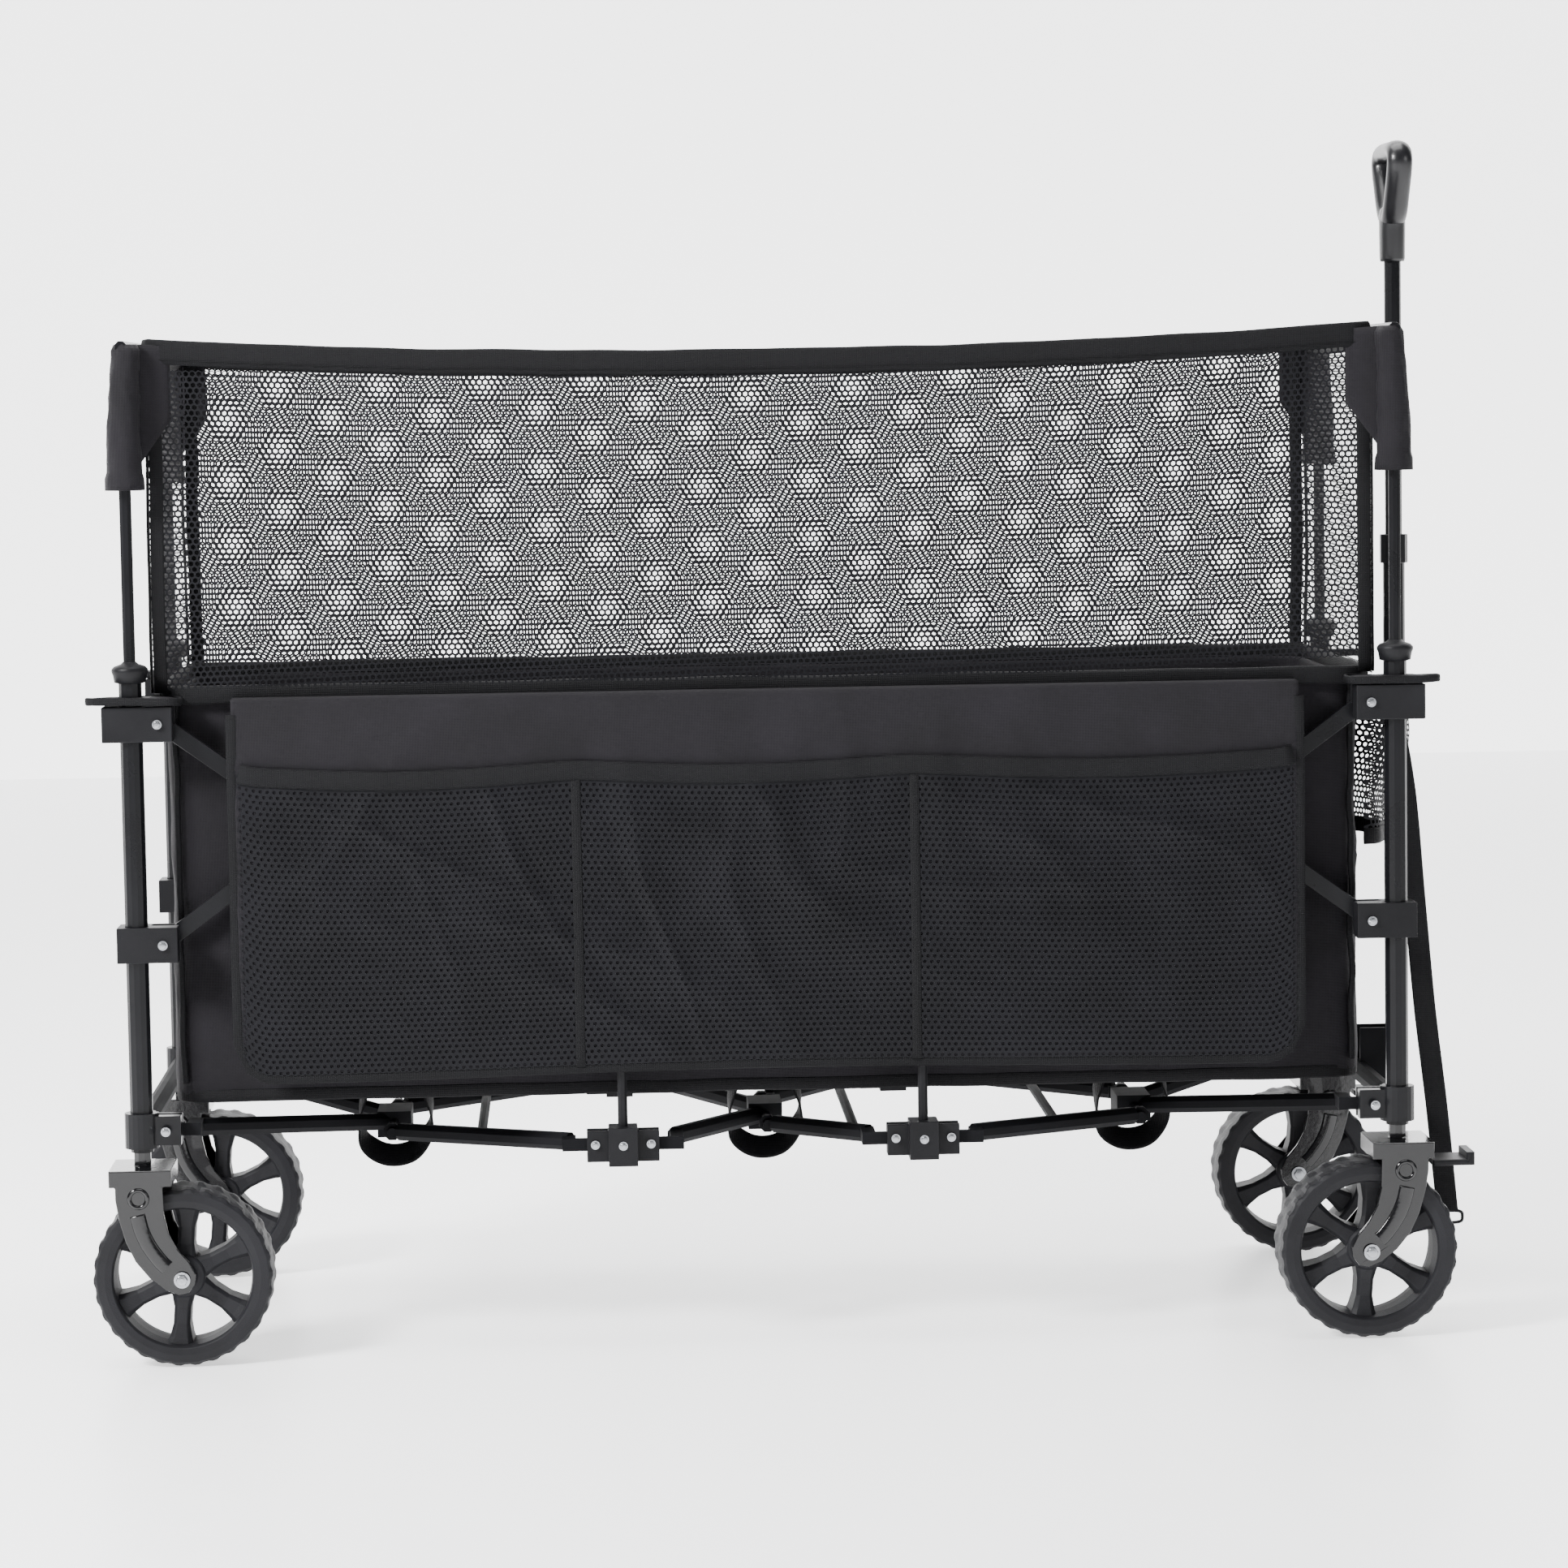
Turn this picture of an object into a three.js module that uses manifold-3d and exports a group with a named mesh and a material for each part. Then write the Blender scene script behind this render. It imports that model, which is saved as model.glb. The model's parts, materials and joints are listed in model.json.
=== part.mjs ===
// A folding pet stroller wagon: a long fabric tub and mesh pen on a scissor frame with four
// castors and a telescopic pull handle. Millimetres, +Z up, +X towards the handle end.
// The near long side is at -Y. The frame is built open, at its full length.
import * as THREE from 'three';
import { mergeVertices } from 'three/addons/utils/BufferGeometryUtils.js';
import Module from 'manifold-3d';

const wasm = await Module();
wasm.setup();

// ---- driving dimensions -------------------------------------------------------------------
// A size that ends in Rise is a height above the tops of the castor forks.
const postSpanX = 1217; // post axis to post axis, along the wagon
const postSpanY = 460; // post axis to post axis, across the wagon
const postRadius = 11;
const postBore = 9.3;
const postBottomRise = 13;
const postTopRise = 475;
const runClearance = 0.4; // radial gap of a moving fit
const seatClearance = 0.3; // gap between touching pieces of one body

const pinInset = 26; // first scissor pin, inboard of the post axis
const pinRadius = 3.5;
const topPinRise = 426; // scissor pins on the fixed top brackets
const lowPinRise = 214; // scissor pins on the sliders, frame open
const armPairs = 4; // scissor crossings on each long side
const armWidth = 16;
const armThick = 4.4;
const armGap = 0.5; // between the two layers of scissor arms
const armInset = 9.5; // post axis to the outer face of the outer layer

const bracketHeight = 34;
const bracketOut = 27; // bracket reach outboard of the post axis
const bracketIn = 40; // bracket reach inboard of the post axis
const cheekInner = 4; // bracket cheek inside the arms
const bracketProud = 15; // bracket face outside the post axis, across the wagon
const sliderOut = 18;

const footHeight = 34;
const footSleeve = 16.5; // radius of the foot's sleeve round the post
const footCheekIn = 16; // inner face of the foot's lug housing, inside the post axis
const footPinX = 24; // floor arm pin, inboard of the post axis
const footPinRise = 34;

const rodRadius = 5;
const rodOffset = 2; // rod axis, inside the post axis plane
const hubHalf = 35; // side hub, half length along the wagon
const hubPinX = 27; // floor arm pin, from the rod axis
const hubPinRise = 10;
const hubHeight = 34;

const floorTubeRadius = 9;
const lugThick = 6;
const lugRadius = 9;
const lugIn = 8; // middle of the floor arm lugs, inside the post axis
const middleRise = 4; // height of the floor's middle hinges
const middleAxleRadius = 5;
const middleAxleHalf = 92;
const innerLaneY = 15; // where the arms that carry a middle hub end
const outerLaneY = 80; // where the arms that turn on its axle end
const tieDistance = 90; // cross tie of those arms, from the middle axle

const wheelRadius = 87;
const wheelWidth = 60;
const wheelSides = 20;
const tyreDepth = 16;
const rimWall = 4;
const spokeCount = 6;
const spokeWidth = 9;
const spokeDepth = 18;
const wheelHubRadius = 15;
const axleRadius = 4;
const trailRear = 38;
const trailFront = 32;
const crownClear = 3; // wheel to fork crown
const forkPlate = 4;
const forkGap = 3; // wheel side to fork leg
const crownHalf = 30;
const crownDrop = 16;
const stemRadius = 8.5;
const stemLength = 30;
// fork leg outline: towards the axle from the post axis, and height from the fork's top
const legDown = [[-24, -7], [-24, -28], [-21, -47], [-15, -69]];
const legUp = [[34, -76], [26, -61], [22, -43], [21, -7]];
// and from the axle
const legEye = [[-6, 18], [7, 2], [22, -10], [34, -15], [44, -13], [50, -5], [51, 5], [45, 17]];
const leverReach = 72; // brake lever tip, from the post axis
const leverHinge = 37;
const leverWidth = 46;

const handleX = 39.5; // handle pivot, outboard of the front post axis
const handlePivotRise = 69;
const handleOuterRadius = 11;
const handleInnerRadius = 8.5;
const handleWall = 1.4;
const handleOuterTopRise = 577;
const handleInnerBottomRise = 417;
const gripBottomRise = 855;
const gripTopRise = 976;
const gripHalfWidth = 58;
const gripDepth = 26; // along the wagon
const gripBar = 24; // section height of the grip's bars
const earGap = 1;
const earThick = 4;

const poleRadius = 6;
const poleTopRise = 791;
const meshRise = 2; // net rim above the poles
const meshEndIn = 18.5; // net to post axis, at the ends
const meshSideIn = 16; // and at the sides
const meshWall = 2.4;

const tubEndIn = 25.5; // tub wall to post axis, at the ends
const tubSideIn = 27; // and at the sides
const tubTopRise = 459;
const tubBottomRise = 53;
const tubWall = 5;
const panelEndIn = 95.5; // outer pocket panel's end to post axis
const panelOut = 7; // and its back, outside the post axis
const panelBottomRise = 79;
const panelThick = 3.5;
const panelStrip = 6; // height of the strip that joins panel and rim

const matThick = 8;
const matGap = 6;

// ---- worked out from them -----------------------------------------------------------------
const forkTop = 2 * wheelRadius + crownClear + crownDrop;
const rimRadius = wheelRadius - tyreDepth;
const postBottom = forkTop + postBottomRise;
const postTop = forkTop + postTopRise;
const topPinZ = forkTop + topPinRise;
const lowPinZ = forkTop + lowPinRise;
const footPinZ = forkTop + footPinRise;
const hubPinZ = forkTop + hubPinRise;
const middleZ = forkTop + middleRise;
const handlePivotZ = forkTop + handlePivotRise;
const handleOuterTop = forkTop + handleOuterTopRise;
const handleInnerBottom = forkTop + handleInnerBottomRise;
const gripBottom = forkTop + gripBottomRise;
const gripTop = forkTop + gripTopRise;
const poleTop = forkTop + poleTopRise;
const tubTop = forkTop + tubTopRise;
const tubBottom = forkTop + tubBottomRise;
const panelBottom = forkTop + panelBottomRise;
const legOutline = [
  ...legDown.map(([x, z]) => [x, forkTop + z]),
  ...legEye.map(([x, z]) => [x, wheelRadius + z]),
  ...legUp.map(([x, z]) => [x, forkTop + z]),
];
const postX = postSpanX / 2;
const postY = postSpanY / 2;
const footCheek = postY - footCheekIn;
const lugY = postY - lugIn;
const tubHalfX = postX - tubEndIn;
const tubHalfY = postY - tubSideIn;
const panelHalfX = postX - panelEndIn;
const panelY = postY + panelOut;
const meshHalfX = postX - meshEndIn;
const meshHalfY = postY - meshSideIn;
const meshTop = poleTop + meshRise;
const armStep = (postSpanX - 2 * pinInset) / armPairs;
const armRise = topPinZ - lowPinZ;
const armLength = Math.hypot(armStep, armRise);
const armAngle = Math.atan2(armRise, armStep);
const outerFace = postY - armInset; // outer face of the outer arm layer
const layerFaces = [outerFace, outerFace - armThick - armGap]; // outer faces of layers 1 and 2
const innerFace = layerFaces[1] - armThick;
const rodX = armStep / 2;
const rodY = postY - rodOffset;
const crossingZ = (topPinZ + lowPinZ) / 2;
const axleZ = wheelRadius;
const rearReach = postX - trailRear + wheelRadius;
const frontReach = postX + leverReach;
const round = 8; // sides of a round bar
const fine = 12; // sides of a visible tube

// ---- colours ------------------------------------------------------------------------------
const steel = new THREE.MeshStandardMaterial({ color: 0x0c0c0d, roughness: 0.35, metalness: 0.5 });
const plastic = new THREE.MeshStandardMaterial({ color: 0x151517, roughness: 0.5, metalness: 0 });
const rubber = new THREE.MeshStandardMaterial({ color: 0x101011, roughness: 0.7, metalness: 0 });
const canvas = new THREE.MeshStandardMaterial({ color: 0x0f0e12, roughness: 0.9, metalness: 0 });
const netting = new THREE.MeshStandardMaterial({ color: 0x1a1a1d, roughness: 0.8, metalness: 0 });

const wagon = new THREE.Group();
wagon.position.x = (rearReach - frontReach) / 2; // the box's middle is the origin

// ---- solids -------------------------------------------------------------------------------
function solid(geometry) {
  const bare = geometry.clone();
  bare.deleteAttribute('normal');
  bare.deleteAttribute('uv');
  const merged = mergeVertices(bare, 1e-4);
  return new wasm.Manifold(new wasm.Mesh({
    numProp: 3,
    vertProperties: new Float32Array(merged.attributes.position.array),
    triVerts: new Uint32Array(merged.index.array),
  }));
}

function block(lo, hi) {
  const size = hi.map((h, i) => Math.abs(h - lo[i]));
  const geometry = new THREE.BoxGeometry(...size);
  geometry.translate(...lo.map((l, i) => (l + hi[i]) / 2));
  return solid(geometry);
}

function bar(from, to, radius, sides = round) {
  const a = new THREE.Vector3(...from);
  const b = new THREE.Vector3(...to);
  const geometry = new THREE.CylinderGeometry(radius, radius, a.distanceTo(b), sides);
  geometry.rotateY(Math.PI / sides);
  const up = new THREE.Vector3(0, 1, 0);
  const turn = new THREE.Quaternion().setFromUnitVectors(up, b.clone().sub(a).normalize());
  geometry.applyQuaternion(turn);
  geometry.translate(...a.add(b).multiplyScalar(0.5).toArray());
  return solid(geometry);
}

// A bar across the wagon between two distances from its middle, on side s.
const crossBar = (x, z, s, y0, y1, radius, sides = round) =>
  bar([x, s * y0, z], [x, s * y1, z], radius, sides);

const sideBlock = (s, x0, x1, y0, y1, z0, z1) => block([x0, s * y0, z0], [x1, s * y1, z1]);

// A flat outline in the XZ plane, thick between two distances from the middle on side s.
function plate(shape, s, y0, y1) {
  const geometry = new THREE.ExtrudeGeometry(shape, {
    depth: Math.abs(y1 - y0), bevelEnabled: false, curveSegments: 5,
  });
  geometry.rotateX(Math.PI / 2);
  geometry.translate(0, Math.max(s * y0, s * y1), 0);
  return solid(geometry);
}

function join(first, ...rest) {
  return rest.reduce((sum, next) => sum.add(next), first);
}

function add(name, made, material) {
  const mesh = made.getMesh();
  const geometry = new THREE.BufferGeometry();
  geometry.setAttribute('position', new THREE.BufferAttribute(new Float32Array(mesh.vertProperties), 3));
  geometry.setIndex(new THREE.BufferAttribute(new Uint32Array(mesh.triVerts), 1));
  const flat = geometry.toNonIndexed();
  flat.computeVertexNormals();
  const node = new THREE.Mesh(flat, material);
  node.name = name;
  wagon.add(node);
}

const sides = [['near', -1], ['far', 1]];
const ends = [['rear', -1], ['front', 1]];

// ---- posts, brackets, sliders -------------------------------------------------------------
// x along the wagon from a post: d is how far inboard of its axis.
const inboard = (e, d) => e * (postX - d);

function post(e, s) {
  const x = inboard(e, 0);
  const y = s * postY;
  const foot = join(
    sideBlock(s, inboard(e, 4), inboard(e, bracketIn - 2), footCheek, postY + 9,
      footPinZ - footHeight / 2 + 3, footPinZ + footHeight / 2 - 3),
    bar([x, y, footPinZ - footHeight / 2], [x, y, footPinZ + footHeight / 2], footSleeve, 20),
  );
  const slot = sideBlock(s, inboard(e, 13), inboard(e, bracketIn + 1),
    lugY - lugThick / 2 - 1, lugY + lugThick / 2 + 1, 0, postTop);
  const tube = bar([x, y, postBottom], [x, y, postTop], postRadius, fine);
  const bore = bar([x, y, postBottom - 1], [x, y, postTop + 1], postBore, fine);
  const pin = crossBar(inboard(e, footPinX), footPinZ, s, footCheek, postY + 10, pinRadius);
  return join(foot.subtract(slot), pin, tube).subtract(bore);
}

function bracket(e, s, z, out, gap) {
  const top = z + bracketHeight / 2;
  const body = sideBlock(s, inboard(e, -out), inboard(e, bracketIn),
    innerFace - cheekInner - 1, postY + bracketProud, z - bracketHeight / 2, top);
  const slot = sideBlock(s, inboard(e, postRadius + 3), inboard(e, bracketIn + 1),
    innerFace - 1, outerFace + 1, z - bracketHeight, z + bracketHeight);
  const bore = bar([inboard(e, 0), s * postY, z - bracketHeight],
    [inboard(e, 0), s * postY, z + bracketHeight], postRadius + gap, fine);
  const pin = crossBar(inboard(e, pinInset), z, s, innerFace - cheekInner - 1,
    postY + bracketProud + 2, pinRadius);
  return join(body.subtract(slot).subtract(bore), pin);
}

for (const [endName, e] of ends) {
  for (const [sideName, s] of sides) {
    add(`post_${endName}_${sideName}`, post(e, s), steel);
    add(`top_bracket_${endName}_${sideName}`, bracket(e, s, topPinZ, bracketOut, seatClearance), plastic);
    add(`slider_${endName}_${sideName}`, bracket(e, s, lowPinZ, sliderOut, runClearance), plastic);
  }
}

// ---- long side scissors -------------------------------------------------------------------
// Node k is k arm steps from the rear pins. An arm runs from (k, up) to (k + 1, not up).
const nodeX = (k) => -postX + pinInset + k * armStep;

function arm(k, fromTop, layer, s, studs) {
  const half = armLength / 2;
  const r = armWidth / 2;
  const shape = new THREE.Shape();
  shape.moveTo(-half, -r);
  shape.lineTo(half, -r);
  shape.absarc(half, 0, r, -Math.PI / 2, Math.PI / 2);
  shape.lineTo(-half, r);
  shape.absarc(-half, 0, r, Math.PI / 2, 1.5 * Math.PI);
  for (const [at, kind] of studs) {
    if (kind === 'hole') {
      const hole = new THREE.Path();
      hole.absarc(at * half, 0, pinRadius + runClearance, 0, 2 * Math.PI);
      shape.holes.push(hole);
    }
  }
  const face = layerFaces[layer];
  const geometry = new THREE.ExtrudeGeometry(shape, {
    depth: armThick, bevelEnabled: false, curveSegments: 4,
  });
  geometry.rotateX(Math.PI / 2);
  geometry.translate(0, s > 0 ? face : -face + armThick, 0);
  const turn = fromTop ? armAngle : -armAngle;
  geometry.rotateY(turn);
  geometry.translate(nodeX(k) + armStep / 2, 0, crossingZ);
  let made = solid(geometry);
  for (const [at, kind] of studs) {
    if (kind === 'hole') continue;
    const x = nodeX(k) + armStep / 2 + at * armStep / 2;
    const z = crossingZ - at * (fromTop ? 1 : -1) * armRise / 2;
    const outer = kind === 'long' ? rodY + rodRadius + 2 : outerFace + 1.5;
    made = made.add(crossBar(x, z, s, innerFace - 1.5, outer, pinRadius, 8));
  }
  return made;
}

const arms = [
  // name, step, starts at the top, layer, what is at its start, middle and end
  ['a1', 0, true, 0, ['hole', 'stud', 'stud']],
  ['b1', 0, false, 1, ['hole', 'hole', 'hole']],
  ['a2', 1, false, 1, ['hole', 'hole', 'hole']],
  ['b2', 1, true, 0, ['stud', 'long', 'stud']],
  ['a3', 2, true, 0, ['stud', 'long', 'stud']],
  ['b3', 2, false, 1, ['hole', 'hole', 'hole']],
  ['a4', 3, false, 1, ['hole', 'hole', 'hole']],
  ['b4', 3, true, 0, ['stud', 'stud', 'hole']],
];
for (const [sideName, s] of sides) {
  for (const [armName, k, fromTop, layer, ends3] of arms) {
    const studs = ends3.map((kind, i) => [i - 1, kind]);
    add(`scissor_${armName}_${sideName}`, arm(k, fromTop, layer, s, studs), steel);
  }
}

// ---- drop rods with their side hubs -------------------------------------------------------
function dropRod(e, s) {
  const x = e * rodX;
  const eyeInner = outerFace + 0.6;
  const eye = crossBar(x, crossingZ, s, eyeInner, rodY + rodRadius, 9);
  const hole = crossBar(x, crossingZ, s, 0, 2 * rodY, pinRadius + runClearance);
  const rod = bar([x, s * rodY, hubPinZ], [x, s * rodY, crossingZ - 3], rodRadius);
  const boss = sideBlock(s, x - 14, x + 14, lugY - 12, postY + 14,
    hubPinZ - hubHeight / 2 - 3, hubPinZ + hubHeight / 2);
  const wings = sideBlock(s, x - hubHalf, x + hubHalf, lugY - 10, lugY + 10,
    hubPinZ - hubHeight / 2, hubPinZ + hubHeight / 2 - 4);
  let made = join(boss, wings);
  for (const d of [-1, 1]) {
    const slot = sideBlock(s, x + d * 15, x + d * (hubHalf + 1),
      lugY - lugThick / 2 - 1, lugY + lugThick / 2 + 1, 0, postTop);
    const pin = crossBar(x + d * hubPinX, hubPinZ, s, lugY - 10, lugY + 12, pinRadius);
    made = made.subtract(slot).add(pin);
  }
  return join(made, rod, eye).subtract(hole);
}
for (const [endName, e] of ends) {
  for (const [sideName, s] of sides) add(`drop_rod_${endName}_${sideName}`, dropRod(e, s), plastic);
}

// ---- floor arms ---------------------------------------------------------------------------
// A pair of tubes from two side pins to a middle hinge. carriesHub: it holds the hub and axle.
function floorPair(pinX, pinZ, midX, carriesHub) {
  const lane = carriesHub ? innerLaneY : outerLaneY;
  const toward = Math.sign(midX - pinX);
  const run = Math.abs(midX - pinX);
  const at = (t, s) => [
    pinX + toward * run * t,
    s * (lugY - 4 + (lane - lugY + 4) * t),
    pinZ + (middleZ - pinZ) * t,
  ];
  const startShare = 24 / run;
  const endShare = carriesHub ? 1 : 1 - 8 / run;
  let made = null;
  for (const s of [-1, 1]) {
    const tube = bar(at(startShare, s), at(endShare, s), floorTubeRadius);
    const lug = join(
      crossBar(pinX, pinZ, s, lugY - lugThick / 2, lugY + lugThick / 2, lugRadius),
      sideBlock(s, Math.min(pinX, pinX + toward * 27), Math.max(pinX, pinX + toward * 27),
        lugY - lugThick / 2, lugY + lugThick / 2, pinZ - 7, pinZ + 5),
      sideBlock(s, Math.min(pinX + toward * 19, pinX + toward * 32),
        Math.max(pinX + toward * 19, pinX + toward * 32),
        Math.abs(at(28 / run, 1)[1]), lugY + lugThick / 2, pinZ - 7, pinZ + 5),
    ).subtract(crossBar(pinX, pinZ, s, 0, 2 * lugY, pinRadius + runClearance));
    made = made ? join(made, tube, lug) : join(tube, lug);
    if (!carriesHub) {
      const eye = crossBar(midX, middleZ, s, outerLaneY - 5, outerLaneY + 5, lugRadius);
      const web = sideBlock(s, Math.min(midX, midX - toward * 14), Math.max(midX, midX - toward * 14),
        outerLaneY - 5, outerLaneY + 5, middleZ - 6, middleZ + 6);
      const reach = sideBlock(s, Math.min(midX - toward * 14, midX - toward * 9),
        Math.max(midX - toward * 14, midX - toward * 9),
        outerLaneY - 5, Math.abs(at(endShare, 1)[1]), middleZ - 6, middleZ + 6);
      made = join(made, eye, web, reach)
        .subtract(crossBar(midX, middleZ, s, outerLaneY - 12, outerLaneY + 12,
          middleAxleRadius + runClearance));
    }
  }
  if (carriesHub) {
    made = join(made,
      block([midX - 17, -30, middleZ - 14], [midX + 17, 30, middleZ + 12]),
      bar([midX, -middleAxleHalf, middleZ], [midX, middleAxleHalf, middleZ], middleAxleRadius));
  } else {
    const t = 1 - Math.min(tieDistance, run * 0.7) / run;
    const [x, y, z] = at(t, 1);
    made = made.add(bar([x, -y, z], [x, y, z], 5));
  }
  return made;
}
const footX = postX - footPinX;
const bayMiddle = (footX + rodX + hubPinX) / 2 - 4;
const floorPairs = [
  ['floor_arms_rear_outer', -footX, footPinZ, -bayMiddle, true],
  ['floor_arms_rear_inner', -rodX - hubPinX, hubPinZ, -bayMiddle, false],
  ['floor_arms_middle_rear', -rodX + hubPinX, hubPinZ, 0, true],
  ['floor_arms_middle_front', rodX - hubPinX, hubPinZ, 0, false],
  ['floor_arms_front_inner', rodX + hubPinX, hubPinZ, bayMiddle, false],
  ['floor_arms_front_outer', footX, footPinZ, bayMiddle, true],
];
for (const [name, ...where] of floorPairs) add(name, floorPair(...where), steel);

// ---- castors ------------------------------------------------------------------------------
function fork(x, y, trail) {
  const legInner = wheelWidth / 2 + forkGap;
  const legOuter = legInner + forkPlate;
  const axleX = x + trail;
  const d = Math.sign(trail);
  const shape = new THREE.Shape(legOutline.map(([u, z]) => new THREE.Vector2(x + d * u, -z)));
  const leg = (s) => {
    const geometry = new THREE.ExtrudeGeometry(shape, { depth: forkPlate, bevelEnabled: false });
    geometry.rotateX(-Math.PI / 2);
    geometry.translate(0, y + (s > 0 ? legInner : -legOuter), 0);
    return solid(geometry);
  };
  const crown = block([x - crownHalf, y - legOuter, forkTop - crownDrop],
    [x + crownHalf, y + legOuter, forkTop])
    .subtract(block([x - crownHalf + 3, y - legInner, forkTop - crownDrop - 1],
      [x + crownHalf - 3, y + legInner, forkTop - 4]));
  return join(crown, leg(1), leg(-1),
    bar([axleX, y - legOuter - 3, axleZ], [axleX, y + legOuter + 3, axleZ], axleRadius),
    bar([x, y, forkTop - 2], [x, y, forkTop + stemLength], stemRadius));
}

function wheel(x, y) {
  const half = wheelWidth / 2;
  const corner = wheelRadius / Math.cos(Math.PI / wheelSides);
  const disc = (radius, width, n = wheelSides) =>
    bar([x, y - width / 2, axleZ], [x, y + width / 2, axleZ], radius, n);
  let made = disc(corner, wheelWidth).subtract(disc(rimRadius, wheelWidth + 2));
  made = join(made, disc(wheelHubRadius, wheelWidth - 6, round));
  for (let i = 0; i < spokeCount; i += 1) {
    const geometry = new THREE.BoxGeometry(rimRadius + rimWall, spokeDepth, spokeWidth);
    geometry.translate((rimRadius + rimWall) / 2, 0, 0);
    geometry.rotateY((2 * Math.PI * i) / spokeCount);
    geometry.translate(x, y, axleZ);
    made = made.add(solid(geometry));
  }
  return made.subtract(bar([x, y - half, axleZ], [x, y + half, axleZ], axleRadius + runClearance));
}

function brakeLever(x, y) {
  const tip = x + leverReach;
  const root = x + leverHinge;
  const half = leverWidth / 2;
  const foot = block([root - 6, y - half, forkTop - 26], [tip - 6, y + half, forkTop - 20]);
  const toe = block([tip - 8, y - leverWidth / 2, forkTop - 26], [tip, y + leverWidth / 2, forkTop - 13]);
  return join(foot, toe);
}

for (const [endName, e] of ends) {
  for (const [sideName, s] of sides) {
    const trail = e < 0 ? trailRear : -trailFront;
    add(`fork_${endName}_${sideName}`, fork(inboard(e, 0), s * postY, trail), steel);
    add(`wheel_${endName}_${sideName}`, wheel(inboard(e, 0) + trail, s * postY), rubber);
    if (e > 0) add(`brake_lever_${sideName}`, brakeLever(inboard(e, 0), s * postY), plastic);
  }
}

// ---- handle -------------------------------------------------------------------------------
const pullX = postX + handleX;
function handleYoke() {
  const inner = handleOuterRadius + earGap;
  const reachY = postY - footSleeve - seatClearance;
  const tube = bar([postX, -reachY, footPinZ], [postX, reachY, footPinZ], 10, fine);
  const ear = (s) => sideBlock(s, postX, pullX + 9, inner, inner + earThick, footPinZ - 10, handlePivotZ + 9);
  const end = inner + earThick + 2;
  const pin = bar([pullX, -end, handlePivotZ], [pullX, end, handlePivotZ], 4);
  return join(tube, ear(1), ear(-1), pin);
}

function handleOuterTube() {
  const bottom = handlePivotZ - 11;
  const tube = bar([pullX, 0, bottom], [pullX, 0, handleOuterTop], handleOuterRadius, fine);
  const top = handleOuterTop;
  const collar = bar([pullX, 0, top - 26], [pullX, 0, top + 3], handleOuterRadius + 3, fine);
  const bore = bar([pullX, 0, handlePivotZ + 25], [pullX, 0, top + 5],
    handleInnerRadius + runClearance, fine);
  const eye = bar([pullX, -30, handlePivotZ], [pullX, 30, handlePivotZ], 4 + runClearance);
  return join(tube, collar).subtract(bore).subtract(eye);
}

function handleInnerTube() {
  return bar([pullX, 0, handleInnerBottom], [pullX, 0, gripBottom + 30], handleInnerRadius, fine)
    .subtract(bar([pullX, 0, handleInnerBottom - 1], [pullX, 0, gripBottom + 31],
      handleInnerRadius - handleWall, fine));
}

function grip() {
  const half = gripHalfWidth;
  const outline = new THREE.Shape();
  outline.moveTo(-14, gripBottom);
  outline.lineTo(14, gripBottom);
  outline.lineTo(18, gripBottom + 34);
  outline.lineTo(half, gripTop - 34);
  outline.absarc(half - 22, gripTop - 22, 22, 0, Math.PI / 2);
  outline.absarc(-half + 22, gripTop - 22, 22, Math.PI / 2, Math.PI);
  outline.lineTo(-18, gripBottom + 34);
  outline.closePath();
  const gap = new THREE.Path();
  gap.moveTo(-16, gripBottom + 52);
  gap.lineTo(16, gripBottom + 52);
  gap.lineTo(half - gripBar + 2, gripTop - gripBar - 8);
  gap.lineTo(half - gripBar - 6, gripTop - gripBar);
  gap.lineTo(-half + gripBar + 6, gripTop - gripBar);
  gap.lineTo(-half + gripBar - 2, gripTop - gripBar - 8);
  gap.closePath();
  outline.holes.push(gap);
  const geometry = new THREE.ExtrudeGeometry(outline, {
    depth: gripDepth, bevelEnabled: false, curveSegments: 4,
  });
  geometry.rotateX(Math.PI / 2);
  geometry.rotateZ(Math.PI / 2);
  geometry.translate(pullX - gripDepth / 2, 0, 0);
  return solid(geometry)
    .subtract(bar([pullX, 0, gripBottom - 1], [pullX, 0, gripBottom + 30 + seatClearance],
      handleInnerRadius + seatClearance, fine));
}
const crossY = postY - footSleeve - seatClearance;
add('rear_crossbar', bar([-postX, -crossY, footPinZ], [-postX, crossY, footPinZ], 10, fine), steel);
add('handle_yoke', handleYoke(), steel);
add('handle_outer_tube', handleOuterTube(), steel);
add('handle_inner_tube', handleInnerTube(), steel);
add('handle_grip', grip(), plastic);

// ---- pen hoops ----------------------------------------------------------------------------
function hoop(e) {
  const x = inboard(e, 0);
  const leg = (s) => bar([x, s * postY, postTop - 40], [x, s * postY, poleTop - poleRadius], poleRadius);
  const seat = postTop + seatClearance;
  const cap = (s) => bar([x, s * postY, seat], [x, s * postY, postTop + 6], postRadius, fine);
  const z = poleTop - poleRadius;
  const top = bar([x, -postY - poleRadius, z], [x, postY + poleRadius, z], poleRadius);
  return join(leg(-1), leg(1), cap(-1), cap(1), top);
}
for (const [endName, e] of ends) add(`pen_hoop_${endName}`, hoop(e), steel);

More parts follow.
